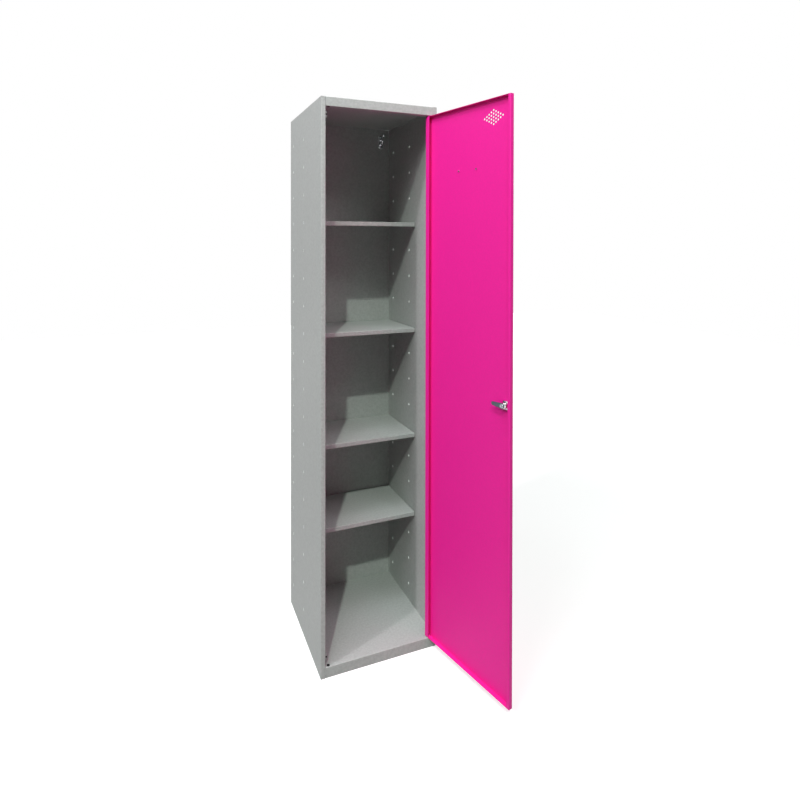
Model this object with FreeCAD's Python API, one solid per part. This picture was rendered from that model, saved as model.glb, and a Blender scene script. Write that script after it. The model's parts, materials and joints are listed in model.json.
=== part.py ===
import FreeCAD, Part
import math
import os

# Broom cupboard in folded sheet steel, with an inset tray door on two pin hinges, four hung shelves
# and a cam lock.  Millimetres.  X runs to the right, Y to the back, Z up.  The origin lies on the
# floor, in the middle of the carcass.  Door pieces are drawn with the door shut and swung open last.

# ---- Carcass -----------------------------------------------------------------------------------
CUPBOARD_WIDTH = 400.0
CUPBOARD_DEPTH = 400.0
CUPBOARD_HEIGHT = 1800.0
BODY_SHEET = 0.8
BODY_BEND_RADIUS = 1.0
SEAM_GAP = 0.05
JAMB_WIDTH = 15.0
HEADER_HEIGHT = 29.0
HEADER_FLANGE = 25.0
HEADER_LIP = 10.0
RAIL_HEIGHT = 33.0
RAIL_FOOT = 12.0
FLOOR_DROP = 5.0
FOOT_FLANGE = 12.0
SEAM_FLANGE = 12.0
SEAM_FLANGE_RELIEF = 16.0

# ---- Peg holes in the side panels ---------------------------------------------------------------
PEG_HOLE_DIAMETER = 6.0
PEG_HOLE_PITCH = 95.0
FIRST_PEG_HEIGHT = 88.0
FRONT_PEG_BEHIND_SHELF_EDGE = 51.0
REAR_PEG_INSET = 43.0

# ---- Shelves and their clips --------------------------------------------------------------------
SHELF_SETBACK = 160.0
SHELF_RIM = 15.0
SHELF_RETURN = 8.0
SHELF_SIDE_GAP = 2.2
SHELF_REAR_GAP = 1.0
SHELF_ABOVE_PEG = 5.0
SHELF_PEG_ROWS = (3, 6, 10, 14)
CLIP_SHEET = 1.2
CLIP_WIDTH = 14.0
CLIP_ABOVE_PEG = 6.0
CLIP_LEDGE = 10.0
PEG_CLEARANCE = 0.2

# ---- Door ---------------------------------------------------------------------------------------
DOOR_GAP = 2.5
DOOR_THICKNESS = 14.0
DOOR_SHEET = 1.0
DOOR_BEND_RADIUS = 1.0
FREE_EDGE_LIP = 9.0
HINGE_EDGE_LIP = 18.0
DOOR_REST_ANGLE = 103.2

# ---- Pin hinges ---------------------------------------------------------------------------------
PIN_DIAMETER = 5.0
PIN_HEAD_DIAMETER = 8.0
PIN_HEAD_HEIGHT = 1.5
PIN_REACH = 5.0
RUNNING_CLEARANCE = 0.05
BUSH_BODY_DIAMETER = 8.0
BUSH_BODY_LENGTH = 4.0
BUSH_FLANGE_DIAMETER = 10.0
BUSH_FLANGE_HEIGHT = 1.2
BUSH_FIT_CLEARANCE = 0.05
HINGE_PLATE_SHEET = 1.5
HINGE_PLATE_LENGTH = 30.0
HINGE_PLATE_LEG = 22.0

# ---- Door stops ---------------------------------------------------------------------------------
STOP_SHEET = 1.2
STOP_HEIGHT = 20.0
STOP_TAB = 9.0
STOP_LEG = 11.0
STOP_FROM_OPENING = 12.0
BUFFER_DIAMETER = 6.0
BUFFER_FACE_THICKNESS = 1.7
BUFFER_STEM_DIAMETER = 3.0
BUFFER_HEAD_HEIGHT = 1.5
BUFFER_TO_DOOR = 0.3

# ---- Cam lock -----------------------------------------------------------------------------------
LOCK_HEIGHT = 888.0
LOCK_FROM_FREE_EDGE = 26.0
BARREL_DIAMETER = 19.0
BARREL_FLATS = 16.0
BARREL_HOLE_CLEARANCE = 0.1
BEZEL_DIAMETER = 24.0
BEZEL_HEIGHT = 2.2
PLUG_DIAMETER = 13.0
PLUG_FACE_DIAMETER = 16.0
PLUG_FACE_HEIGHT = 1.2
KEYWAY_WIDTH = 2.0
KEYWAY_HEIGHT = 8.0
KEYWAY_DEPTH = 12.0
LOCK_NUT_ACROSS_FLATS = 24.0
LOCK_NUT_HEIGHT = 4.0
CAM_TIP_CLEARANCE = 2.7
CAM_ROOT_WIDTH = 16.0
CAM_TIP_WIDTH = 11.0
CAM_SHEET = 2.0
CAM_BEHIND_JAMB = 0.5
CAM_SQUARE = 7.0
CAM_SQUARE_CLEARANCE = 0.05
CAM_WASHER_DIAMETER = 12.0
CAM_WASHER_HEIGHT = 1.0
CAM_SCREW_DIAMETER = 4.0
CAM_SCREW_LENGTH = 9.0
CAM_SCREW_ACROSS_FLATS = 7.0
CAM_SCREW_HEAD_HEIGHT = 3.5

# ---- Vent holes ---------------------------------------------------------------------------------
VENT_HOLE_DIAMETER = 6.0
VENT_HOLES_PER_SIDE = 5
VENT_HALF_PITCH_ACROSS = 8.9
VENT_HALF_PITCH_UP = 5.1
VENT_FROM_FREE_EDGE = 76.0
VENT_FROM_DOOR_TOP = 52.0

# ---- Card holder --------------------------------------------------------------------------------
CARD_HOLDER_EAR = 12.8
CARD_HOLDER_HEIGHT = 30.0
CARD_HOLDER_BASE = 0.8
CARD_HOLDER_RIM = 1.4
CARD_HOLDER_BORDER = 3.0
CARD_HOLDER_OVERLAP = 2.0
CARD_HOLDER_FROM_DOOR_TOP = 195.0
CARD_WIDTH = 62.0
CARD_THICKNESS = 0.4
CARD_CLEARANCE = 0.2
RIVET_DIAMETER = 3.2
RIVET_HEAD_DIAMETER = 6.5
RIVET_HEAD_HEIGHT = 1.0
RIVET_TAIL_DIAMETER = 5.2
RIVET_TAIL_HEIGHT = 2.5
RIVET_BORE_DIAMETER = 1.8
RIVET_BORE_DEPTH = 1.8
RIVET_FIT_CLEARANCE = 0.05

# ---- Coat hooks ---------------------------------------------------------------------------------
HOOK_SIDE_INSET = 38.0
HOOK_TOP_INSET = 52.0
HOOK_PLATE_WIDTH = 18.0
HOOK_PLATE_HEIGHT = 50.0
HOOK_PLATE_THICKNESS = 2.5
HOOK_PLATE_CORNER_RADIUS = 6.0
HOOK_PRONG_DIAMETER = 6.0
UPPER_PRONG_REACH = 32.0
UPPER_PRONG_RISE = 14.0
UPPER_BALL_DIAMETER = 11.0
LOWER_PRONG_REACH = 20.0
LOWER_PRONG_RISE = 8.0
LOWER_PRONG_SAG = 3.0
# Where the middle of each prong's arc lies, as a share of the prong's reach and rise.
UPPER_MIDDLE_REACH_SHARE = 0.6
UPPER_MIDDLE_RISE_SHARE = 0.3
LOWER_MIDDLE_REACH_SHARE = 0.7
LOWER_BALL_DIAMETER = 9.0
HOOK_PRONG_SPACING = 14.0
HOOK_SCREW_DIAMETER = 4.0
HOOK_SCREW_HEAD_DIAMETER = 7.0
HOOK_SCREW_HEAD_HEIGHT = 2.0
HOOK_SCREW_FROM_PLATE_END = 6.0
HOOK_SCREW_CLEARANCE = 0.05

# ---- Places worked out from the sizes above -----------------------------------------------------
CUT_MARGIN = 1.0
HALF_WIDTH = CUPBOARD_WIDTH / 2
FRONT_Y = -CUPBOARD_DEPTH / 2
REAR_Y = CUPBOARD_DEPTH / 2
INNER_SIDE_X = HALF_WIDTH - BODY_SHEET
INNER_REAR_Y = REAR_Y - BODY_SHEET
JAMB_X = HALF_WIDTH - JAMB_WIDTH
# The jamb returns end just behind the shut door, so that a stop on them leaves room for its buffer.
DOOR_REAR_Y = FRONT_Y + DOOR_THICKNESS
STOP_TAB_Y = DOOR_REAR_Y + BUFFER_TO_DOOR + BUFFER_FACE_THICKNESS
JAMB_REAR_Y = STOP_TAB_Y - SEAM_GAP
OPENING_BOTTOM = RAIL_HEIGHT
OPENING_TOP = CUPBOARD_HEIGHT - HEADER_HEIGHT
FLOOR_TOP = RAIL_HEIGHT - FLOOR_DROP
FOLD_HALF_WIDTH = JAMB_X - SEAM_GAP
PANEL_HALF_WIDTH = INNER_SIDE_X - SEAM_GAP
PANEL_REAR_Y = INNER_REAR_Y - SEAM_GAP

SHELF_FRONT_Y = FRONT_Y + SHELF_SETBACK
SHELF_REAR_Y = INNER_REAR_Y - SHELF_REAR_GAP
SHELF_HALF_WIDTH = INNER_SIDE_X - SHELF_SIDE_GAP
PEG_COLUMNS_Y = (SHELF_FRONT_Y + FRONT_PEG_BEHIND_SHELF_EDGE, REAR_Y - REAR_PEG_INSET)
PEG_ROW_COUNT = 1 + int((OPENING_TOP - FIRST_PEG_HEIGHT - PEG_HOLE_DIAMETER) / PEG_HOLE_PITCH)

DOOR_HALF_WIDTH = JAMB_X - DOOR_GAP
DOOR_BOTTOM = OPENING_BOTTOM + DOOR_GAP
DOOR_TOP = OPENING_TOP - DOOR_GAP
DOOR_INNER_Y = FRONT_Y + DOOR_SHEET
# The pins stand in the middle of the door's thickness, far enough from its edge that a square
# corner would swing exactly past the jamb.  The folded edge's rounding is the clearance.
PIN_FROM_FACE = DOOR_THICKNESS / 2
PIN_FROM_DOOR_EDGE = (PIN_FROM_FACE ** 2 - DOOR_GAP ** 2) / (2 * DOOR_GAP)
PIN_X = DOOR_HALF_WIDTH - PIN_FROM_DOOR_EDGE
PIN_Y = FRONT_Y + PIN_FROM_FACE

LOCK_X = -DOOR_HALF_WIDTH + LOCK_FROM_FREE_EDGE
CAM_LENGTH = LOCK_X + INNER_SIDE_X - CAM_TIP_CLEARANCE
CAM_FRONT_Y = JAMB_REAR_Y + CAM_BEHIND_JAMB
CAM_REAR_Y = CAM_FRONT_Y + CAM_SHEET
BARREL_REAR_Y = CAM_FRONT_Y - SEAM_GAP
BEZEL_FRONT_Y = FRONT_Y - BEZEL_HEIGHT

CARD_HOLDER_Z = DOOR_TOP - CARD_HOLDER_FROM_DOOR_TOP
CARD_HOLDER_FACE_Y = FRONT_Y - CARD_HOLDER_BASE
CARD_FRAME_HALF_WIDTH = CARD_WIDTH / 2 + CARD_CLEARANCE
CARD_HOLDER_HALF_WIDTH = CARD_FRAME_HALF_WIDTH + CARD_HOLDER_EAR
HOOK_X = HALF_WIDTH - HOOK_SIDE_INSET
HOOK_Z = CUPBOARD_HEIGHT - HOOK_TOP_INSET
HOOK_PLATE_FRONT_Y = INNER_REAR_Y - HOOK_PLATE_THICKNESS


# ---- Shape helpers ------------------------------------------------------------------------------
def point(x, y, z):
    return FreeCAD.Vector(x, y, z)


def block(x_range, y_range, z_range):
    """Box between the two ends of each range."""
    size = [high - low for low, high in (x_range, y_range, z_range)]
    return Part.makeBox(size[0], size[1], size[2], point(x_range[0], y_range[0], z_range[0]))


def round_bar(diameter, start, end):
    """Cylinder from one point to another."""
    axis = end.sub(start)
    return Part.makeCylinder(diameter / 2, axis.Length, start, axis)


def ball(diameter, centre):
    return Part.makeSphere(diameter / 2, centre)


def bar_along_y(diameter, x, y_start, y_end, z):
    return round_bar(diameter, point(x, y_start, z), point(x, y_end, z))


def bar_along_z(diameter, x, y, z_start, z_end):
    return round_bar(diameter, point(x, y, z_start), point(x, y, z_end))


def hexagon_along_y(across_flats, x, y_start, y_end, z):
    """Hexagonal prism with its axis along Y."""
    corner_radius = across_flats / math.sqrt(3)
    corners = []
    for step in range(7):
        angle = math.radians(60 * step)
        corners.append(point(x + corner_radius * math.cos(angle), y_start,
                             z + corner_radius * math.sin(angle)))
    return Part.Face(Part.makePolygon(corners)).extrude(point(0, y_end - y_start, 0))


def mirrored_left_to_right(shape):
    return shape.mirror(point(0, 0, 0), point(1, 0, 0))


def fused(first, others):
    """One solid from pieces of the same sheet or casting."""
    return first.fuse(others).removeSplitter()


def bent_sheet_edges(path, thickness, inner_radius, metal_side, place):
    """Closed outline of a bent sheet seen along its folds.

    path holds the corners of one skin.  The metal lies to the left of the path where metal_side
    is 1 and to the right where it is -1.  place turns a pair into a point in space.
    """
    skin = [place(*path[0])]
    other_skin = []
    skin_edges = []
    other_edges = []
    for before, corner, after in zip(path, path[1:], path[2:]):
        run_in = FreeCAD.Vector(corner[0] - before[0], corner[1] - before[1], 0).normalize()
        run_out = FreeCAD.Vector(after[0] - corner[0], after[1] - corner[1], 0).normalize()
        turn = 1 if run_in.cross(run_out).z > 0 else -1
        inside_bend = turn == metal_side
        radius = inner_radius + thickness if inside_bend else inner_radius
        other_radius = inner_radius if inside_bend else inner_radius + thickness
        half_turn = run_in.getAngle(run_out) / 2
        corner_point = FreeCAD.Vector(corner[0], corner[1], 0)
        setback = radius * math.tan(half_turn)
        arc_start = corner_point.sub(run_in * setback)
        arc_end = corner_point.add(run_out * setback)
        centre = arc_start.add(FreeCAD.Vector(-run_in.y, run_in.x, 0) * (turn * radius))
        to_corner = corner_point.sub(centre).normalize()
        directions = (arc_start.sub(centre).normalize(), to_corner, arc_end.sub(centre).normalize())
        on_skin = [centre.add(direction * radius) for direction in directions]
        on_other = [centre.add(direction * other_radius) for direction in directions]
        on_skin = [place(spot.x, spot.y) for spot in on_skin]
        on_other = [place(spot.x, spot.y) for spot in on_other]
        if not other_skin:
            first_normal = FreeCAD.Vector(-run_in.y, run_in.x, 0) * (metal_side * thickness)
            other_skin.append(place(path[0][0] + first_normal.x, path[0][1] + first_normal.y))
        skin_edges.append(Part.makeLine(skin[-1], on_skin[0]))
        skin_edges.append(Part.Arc(*on_skin).toShape())
        other_edges.append(Part.makeLine(other_skin[-1], on_other[0]))
        other_edges.append(Part.Arc(*on_other).toShape())
        skin.append(on_skin[2])
        other_skin.append(on_other[2])
    last_normal = FreeCAD.Vector(-run_out.y, run_out.x, 0) * (metal_side * thickness)
    last = place(*path[-1])
    other_last = place(path[-1][0] + last_normal.x, path[-1][1] + last_normal.y)
    skin_edges.append(Part.makeLine(skin[-1], last))
    other_edges.append(Part.makeLine(other_skin[-1], other_last))
    ends = [Part.makeLine(last, other_last), Part.makeLine(other_skin[0], skin[0])]
    return skin_edges + other_edges + ends


def bent_sheet_upright(path, thickness, inner_radius, metal_side, z_range):
    """Sheet whose folds run along Z.  The path is in X and Y."""
    edges = bent_sheet_edges(path, thickness, inner_radius, metal_side,
                             lambda u, v: point(u, v, z_range[0]))
    outline = Part.Wire(Part.__sortEdges__(edges))
    return Part.Face(outline).extrude(point(0, 0, z_range[1] - z_range[0]))


def bent_sheet_crosswise(path, thickness, inner_radius, metal_side, half_width):
    """Sheet whose folds run along X.  The path is in Y and Z."""
    edges = bent_sheet_edges(path, thickness, inner_radius, metal_side,
                             lambda u, v: point(-half_width, u, v))
    outline = Part.Wire(Part.__sortEdges__(edges))
    return Part.Face(outline).extrude(point(2 * half_width, 0, 0))


# ---- Carcass pieces -----------------------------------------------------------------------------
def peg_heights():
    return [FIRST_PEG_HEIGHT + row * PEG_HOLE_PITCH for row in range(PEG_ROW_COUNT)]


def side_panel_left():
    """Side skin, front jamb with its return, foot flange and two columns of peg holes."""
    path = [(-HALF_WIDTH, REAR_Y), (-HALF_WIDTH, FRONT_Y), (-JAMB_X, FRONT_Y), (-JAMB_X, JAMB_REAR_Y)]
    panel = bent_sheet_upright(path, BODY_SHEET, BODY_BEND_RADIUS, 1, (0, CUPBOARD_HEIGHT))
    foot = block((-INNER_SIDE_X - BODY_SHEET / 2, -INNER_SIDE_X + FOOT_FLANGE),
                 (JAMB_REAR_Y + SEAM_FLANGE_RELIEF, INNER_REAR_Y - SEAM_FLANGE_RELIEF),
                 (0, BODY_SHEET))
    panel = fused(panel, [foot])
    top_notch = block((-INNER_SIDE_X, -FOLD_HALF_WIDTH),
                      (FRONT_Y + BODY_SHEET, JAMB_REAR_Y + CUT_MARGIN),
                      (CUPBOARD_HEIGHT - BODY_SHEET - SEAM_GAP, CUPBOARD_HEIGHT + CUT_MARGIN))
    holes = []
    for y in PEG_COLUMNS_Y:
        for z in peg_heights():
            holes.append(round_bar(PEG_HOLE_DIAMETER, point(-HALF_WIDTH - CUT_MARGIN, y, z),
                                   point(-INNER_SIDE_X + CUT_MARGIN, y, z)))
    return panel.cut([top_notch] + holes)


def hook_screw_heights():
    reach = HOOK_PLATE_HEIGHT / 2 - HOOK_SCREW_FROM_PLATE_END
    return (HOOK_Z - reach, HOOK_Z + reach)


def back_panel():
    """Back skin with a flange folded forward against each side panel."""
    flange_y = REAR_Y - SEAM_FLANGE
    path = [(-PANEL_HALF_WIDTH, flange_y), (-PANEL_HALF_WIDTH, REAR_Y),
            (PANEL_HALF_WIDTH, REAR_Y), (PANEL_HALF_WIDTH, flange_y)]
    panel = bent_sheet_upright(path, BODY_SHEET, BODY_BEND_RADIUS, -1, (0, CUPBOARD_HEIGHT))
    hole_diameter = HOOK_SCREW_DIAMETER + 2 * HOOK_SCREW_CLEARANCE
    holes = []
    for x in (-HOOK_X, HOOK_X):
        for z in hook_screw_heights():
            holes.append(bar_along_y(hole_diameter, x, INNER_REAR_Y - CUT_MARGIN, REAR_Y + CUT_MARGIN, z))
    return panel.cut(holes)


def bush_holes(z_range):
    """Holes for the pivot bushes on both sides of the opening."""
    diameter = BUSH_BODY_DIAMETER + 2 * BUSH_FIT_CLEARANCE
    return [bar_along_z(diameter, x, PIN_Y, z_range[0], z_range[1]) for x in (-PIN_X, PIN_X)]


def seam_flanges(z_range):
    """Flanges of a top or base panel that lie against the two side panels."""
    y_range = (JAMB_REAR_Y + SEAM_FLANGE_RELIEF, PANEL_REAR_Y - SEAM_FLANGE_RELIEF)
    left = block((-PANEL_HALF_WIDTH, -PANEL_HALF_WIDTH + BODY_SHEET), y_range, z_range)
    return [left, mirrored_left_to_right(left)]


def side_strips(y_start, z_range):
    """The parts of a top or base panel that reach past the opening to the side panels."""
    x_range = (-PANEL_HALF_WIDTH, -FOLD_HALF_WIDTH + BODY_SHEET)
    strip = block(x_range, (y_start, PANEL_REAR_Y - BODY_SHEET), z_range)
    corner_y = REAR_Y - SEAM_FLANGE - SEAM_GAP
    notch = block((-PANEL_HALF_WIDTH - CUT_MARGIN, -PANEL_HALF_WIDTH + BODY_SHEET + SEAM_GAP),
                  (corner_y, REAR_Y), z_range)
    left = strip.cut(notch)
    return [left, mirrored_left_to_right(left)]


def top_panel():
    """Top skin folded down into the header, with an underside flange, its lip and seam flanges."""
    flange_y = FRONT_Y + HEADER_FLANGE
    path = [(flange_y, OPENING_TOP + HEADER_LIP), (flange_y, OPENING_TOP), (FRONT_Y, OPENING_TOP),
            (FRONT_Y, CUPBOARD_HEIGHT), (PANEL_REAR_Y, CUPBOARD_HEIGHT),
            (PANEL_REAR_Y, CUPBOARD_HEIGHT - SEAM_FLANGE)]
    panel = bent_sheet_crosswise(path, BODY_SHEET, BODY_BEND_RADIUS, -1, FOLD_HALF_WIDTH)
    skin_range = (CUPBOARD_HEIGHT - BODY_SHEET, CUPBOARD_HEIGHT)
    pieces = side_strips(FRONT_Y + BODY_SHEET + SEAM_GAP, skin_range)
    pieces += seam_flanges((CUPBOARD_HEIGHT - SEAM_FLANGE, CUPBOARD_HEIGHT))
    panel = fused(panel, pieces)
    return panel.cut(bush_holes((OPENING_TOP - CUT_MARGIN, OPENING_TOP + BODY_SHEET + CUT_MARGIN)))


def base_panel():
    """Front rail with foot, ledge for the pivots, sunk floor and seam flanges."""
    path = [(FRONT_Y + RAIL_FOOT, 0), (FRONT_Y, 0), (FRONT_Y, RAIL_HEIGHT), (DOOR_REAR_Y, RAIL_HEIGHT),
            (DOOR_REAR_Y, FLOOR_TOP), (PANEL_REAR_Y, FLOOR_TOP), (PANEL_REAR_Y, FLOOR_TOP - SEAM_FLANGE)]
    panel = bent_sheet_crosswise(path, BODY_SHEET, BODY_BEND_RADIUS, -1, FOLD_HALF_WIDTH)
    skin_range = (FLOOR_TOP - BODY_SHEET, FLOOR_TOP)
    pieces = side_strips(JAMB_REAR_Y + SEAM_GAP, skin_range)
    pieces += seam_flanges((FLOOR_TOP - SEAM_FLANGE, FLOOR_TOP))
    panel = fused(panel, pieces)
    return panel.cut(bush_holes((RAIL_HEIGHT - BODY_SHEET - CUT_MARGIN, RAIL_HEIGHT + CUT_MARGIN)))


def shelf(row):
    """Folded tray, open below, its top a little above its row of pegs."""
    top = FIRST_PEG_HEIGHT + row * PEG_HOLE_PITCH + SHELF_ABOVE_PEG
    rim_bottom = top - SHELF_RIM
    path = [(SHELF_FRONT_Y + SHELF_RETURN, rim_bottom), (SHELF_FRONT_Y, rim_bottom), (SHELF_FRONT_Y, top),
            (SHELF_REAR_Y, top), (SHELF_REAR_Y, rim_bottom)]
    tray = bent_sheet_crosswise(path, BODY_SHEET, BODY_BEND_RADIUS, -1, SHELF_HALF_WIDTH)
    bend = BODY_BEND_RADIUS + BODY_SHEET
    y_range = (SHELF_FRONT_Y + bend, SHELF_REAR_Y - bend)
    left_rim = block((-SHELF_HALF_WIDTH, -SHELF_HALF_WIDTH + BODY_SHEET), y_range, (rim_bottom, top))
    return fused(tray, [left_rim, mirrored_left_to_right(left_rim)])


def shelf_clip(y, row):
    """Left-hand clip: peg in the panel's hole, plate down the wall and ledge under the shelf's rim."""
    peg_z = FIRST_PEG_HEIGHT + row * PEG_HOLE_PITCH
    ledge_top = peg_z + SHELF_ABOVE_PEG - SHELF_RIM
    y_range = (y - CLIP_WIDTH / 2, y + CLIP_WIDTH / 2)
    plate = block((-INNER_SIDE_X, -INNER_SIDE_X + CLIP_SHEET), y_range,
                  (ledge_top - CLIP_SHEET, peg_z + CLIP_ABOVE_PEG))
    ledge = block((-INNER_SIDE_X, -INNER_SIDE_X + CLIP_LEDGE), y_range,
                  (ledge_top - CLIP_SHEET, ledge_top))
    peg = round_bar(PEG_HOLE_DIAMETER - 2 * PEG_CLEARANCE, point(-HALF_WIDTH, y, peg_z),
                    point(-INNER_SIDE_X + CLIP_SHEET, y, peg_z))
    return fused(plate, [ledge, peg])


def shelf_clips(row):
    """The four clips that carry one shelf."""
    left = [shelf_clip(y, row) for y in PEG_COLUMNS_Y]
    return Part.makeCompound(left + [mirrored_left_to_right(clip) for clip in left])


def pivot_bush(x, opening_z, outward):
    """Flanged bush pressed into the ledge (outward -1) or the header flange (outward 1)."""
    bore = PIN_DIAMETER + 2 * RUNNING_CLEARANCE
    body_end = opening_z + outward * BUSH_BODY_LENGTH
    flange_end = opening_z - outward * BUSH_FLANGE_HEIGHT
    body = bar_along_z(BUSH_BODY_DIAMETER, x, PIN_Y, opening_z, body_end)
    flange = bar_along_z(BUSH_FLANGE_DIAMETER, x, PIN_Y, opening_z, flange_end)
    through = bar_along_z(bore, x, PIN_Y, flange_end - outward * CUT_MARGIN,
                          body_end + outward * CUT_MARGIN)
    return fused(body, [flange]).cut(through)


def stop_heights():
    """Bottom edges of the two door stops, one near each end of the opening."""
    return (OPENING_BOTTOM + STOP_FROM_OPENING, OPENING_TOP - STOP_FROM_OPENING - STOP_HEIGHT)


def buffer_x():
    """The buffers meet the middle of the door's free-edge lip."""
    return -DOOR_HALF_WIDTH + FREE_EDGE_LIP / 2


def door_stops():
    """Angle brackets on the hidden side of the lock-side jamb return, each with a tab behind the door."""
    leg_x = -JAMB_X - BODY_SHEET
    brackets = []
    for z in stop_heights():
        z_range = (z, z + STOP_HEIGHT)
        tab_rear_y = STOP_TAB_Y + STOP_SHEET
        leg = block((leg_x - STOP_SHEET, leg_x), (STOP_TAB_Y - STOP_LEG, tab_rear_y), z_range)
        tab = block((leg_x - STOP_SHEET, -JAMB_X + STOP_TAB), (STOP_TAB_Y, tab_rear_y), z_range)
        stem_hole = bar_along_y(BUFFER_STEM_DIAMETER, buffer_x(), STOP_TAB_Y - CUT_MARGIN,
                                tab_rear_y + CUT_MARGIN, z + STOP_HEIGHT / 2)
        brackets.append(fused(leg, [tab]).cut(stem_hole))
    return Part.makeCompound(brackets)


def stop_buffers():
    """Rubber buttons: face towards the door, stem through the tab and a head behind it."""
    tab_rear = STOP_TAB_Y + STOP_SHEET
    buffers = []
    for z in stop_heights():
        middle = z + STOP_HEIGHT / 2
        face = bar_along_y(BUFFER_DIAMETER, buffer_x(), DOOR_REAR_Y + BUFFER_TO_DOOR, STOP_TAB_Y, middle)
        stem = bar_along_y(BUFFER_STEM_DIAMETER, buffer_x(), STOP_TAB_Y, tab_rear, middle)
        head = bar_along_y(BUFFER_DIAMETER, buffer_x(), tab_rear, tab_rear + BUFFER_HEAD_HEIGHT, middle)
        buffers.append(fused(face, [stem, head]))
    return Part.makeCompound(buffers)


def curved_prong(start, middle, end, diameter):
    """Round bar along the arc through three points that lie in one YZ plane."""
    spine = Part.Wire([Part.Arc(start, middle, end).toShape()])
    tangent = spine.Edges[0].tangentAt(spine.Edges[0].FirstParameter)
    section = Part.Wire([Part.makeCircle(diameter / 2, start, tangent)])
    return spine.makePipeShell([section], True, True)


def coat_hook(x):
    """Cast hook: wall plate, long upper prong and short lower prong, each ending in a ball."""
    plate = block((x - HOOK_PLATE_WIDTH / 2, x + HOOK_PLATE_WIDTH / 2),
                  (HOOK_PLATE_FRONT_Y, INNER_REAR_Y),
                  (HOOK_Z - HOOK_PLATE_HEIGHT / 2, HOOK_Z + HOOK_PLATE_HEIGHT / 2))
    corners = [edge for edge in plate.Edges if edge.Vertexes[0].X == edge.Vertexes[1].X
               and edge.Vertexes[0].Z == edge.Vertexes[1].Z]
    plate = plate.makeFillet(HOOK_PLATE_CORNER_RADIUS, corners)
    root_y = INNER_REAR_Y - HOOK_PLATE_THICKNESS / 2
    upper_root = HOOK_Z + HOOK_PRONG_SPACING / 2
    upper_end = point(x, INNER_REAR_Y - UPPER_PRONG_REACH, upper_root + UPPER_PRONG_RISE)
    upper_middle = point(x, INNER_REAR_Y - UPPER_PRONG_REACH * UPPER_MIDDLE_REACH_SHARE,
                         upper_root + UPPER_PRONG_RISE * UPPER_MIDDLE_RISE_SHARE)
    upper = curved_prong(point(x, root_y, upper_root), upper_middle, upper_end, HOOK_PRONG_DIAMETER)
    lower_root = HOOK_Z - HOOK_PRONG_SPACING / 2
    lower_end = point(x, INNER_REAR_Y - LOWER_PRONG_REACH, lower_root + LOWER_PRONG_RISE)
    lower_middle = point(x, INNER_REAR_Y - LOWER_PRONG_REACH * LOWER_MIDDLE_REACH_SHARE,
                         lower_root - LOWER_PRONG_SAG)
    lower = curved_prong(point(x, root_y, lower_root), lower_middle, lower_end, HOOK_PRONG_DIAMETER)
    balls = [ball(UPPER_BALL_DIAMETER, upper_end), ball(LOWER_BALL_DIAMETER, lower_end)]
    hook = fused(plate, [upper, lower] + balls)
    hole_diameter = HOOK_SCREW_DIAMETER + 2 * HOOK_SCREW_CLEARANCE
    cuts = [bar_along_y(hole_diameter, x, HOOK_PLATE_FRONT_Y - CUT_MARGIN, INNER_REAR_Y + CUT_MARGIN, z)
            for z in hook_screw_heights()]
    behind_plate = block((x - HOOK_PLATE_WIDTH, x + HOOK_PLATE_WIDTH),
                         (INNER_REAR_Y, REAR_Y + HOOK_PLATE_WIDTH),
                         (HOOK_Z - HOOK_PLATE_HEIGHT, HOOK_Z + HOOK_PLATE_HEIGHT))
    return hook.cut(cuts + [behind_plate])


def coat_hook_screws():
    """Pan-headed screws through each hook's plate into the back panel."""
    screws = []
    for x in (-HOOK_X, HOOK_X):
        for z in hook_screw_heights():
            head = bar_along_y(HOOK_SCREW_HEAD_DIAMETER, x, HOOK_PLATE_FRONT_Y - HOOK_SCREW_HEAD_HEIGHT,
                               HOOK_PLATE_FRONT_Y, z)
            shank = bar_along_y(HOOK_SCREW_DIAMETER, x, HOOK_PLATE_FRONT_Y, REAR_Y, z)
            screws.append(fused(head, [shank]))
    return Part.makeCompound(screws)


# ---- Door pieces, drawn shut --------------------------------------------------------------------
def rounded_tray_block(inset, radius):
    """Block with the door's outline, smaller all round by inset, rounded where the sheet is folded."""
    x = DOOR_HALF_WIDTH - inset
    solid = block((-x, x), (FRONT_Y + inset, DOOR_REAR_Y - inset),
                  (DOOR_BOTTOM + inset, DOOR_TOP - inset))
    folds = []
    for edge in solid.Edges:
        on_face = all(abs(vertex.Y - (FRONT_Y + inset)) < SEAM_GAP for vertex in edge.Vertexes)
        upright = abs(edge.Vertexes[0].Z - edge.Vertexes[1].Z) > SEAM_GAP
        if on_face or upright:
            folds.append(edge)
    return solid.makeFillet(radius, folds)


def vent_holes():
    """Round holes on a square grid stood on its corner."""
    centre_x = -DOOR_HALF_WIDTH + VENT_FROM_FREE_EDGE
    centre_z = DOOR_TOP - VENT_FROM_DOOR_TOP
    holes = []
    for first in range(VENT_HOLES_PER_SIDE):
        for second in range(VENT_HOLES_PER_SIDE):
            x = centre_x + (first - second) * VENT_HALF_PITCH_ACROSS
            z = centre_z + (first + second - VENT_HOLES_PER_SIDE + 1) * VENT_HALF_PITCH_UP
            holes.append(bar_along_y(VENT_HOLE_DIAMETER, x, FRONT_Y - CUT_MARGIN,
                                     DOOR_INNER_Y + CUT_MARGIN, z))
    return holes


def barrel_section(diameter, flats, y_start, y_end):
    """Round bar about the lock's axis with two level flats."""
    bar = bar_along_y(diameter, LOCK_X, y_start, y_end, LOCK_HEIGHT)
    slab = block((LOCK_X - diameter, LOCK_X + diameter), (y_start, y_end),
                 (LOCK_HEIGHT - flats / 2, LOCK_HEIGHT + flats / 2))
    return bar.common(slab)


def rivet_places():
    """One rivet in the middle of each ear of the card holder."""
    x = CARD_FRAME_HALF_WIDTH + CARD_HOLDER_EAR / 2
    return (-x, x)


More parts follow.
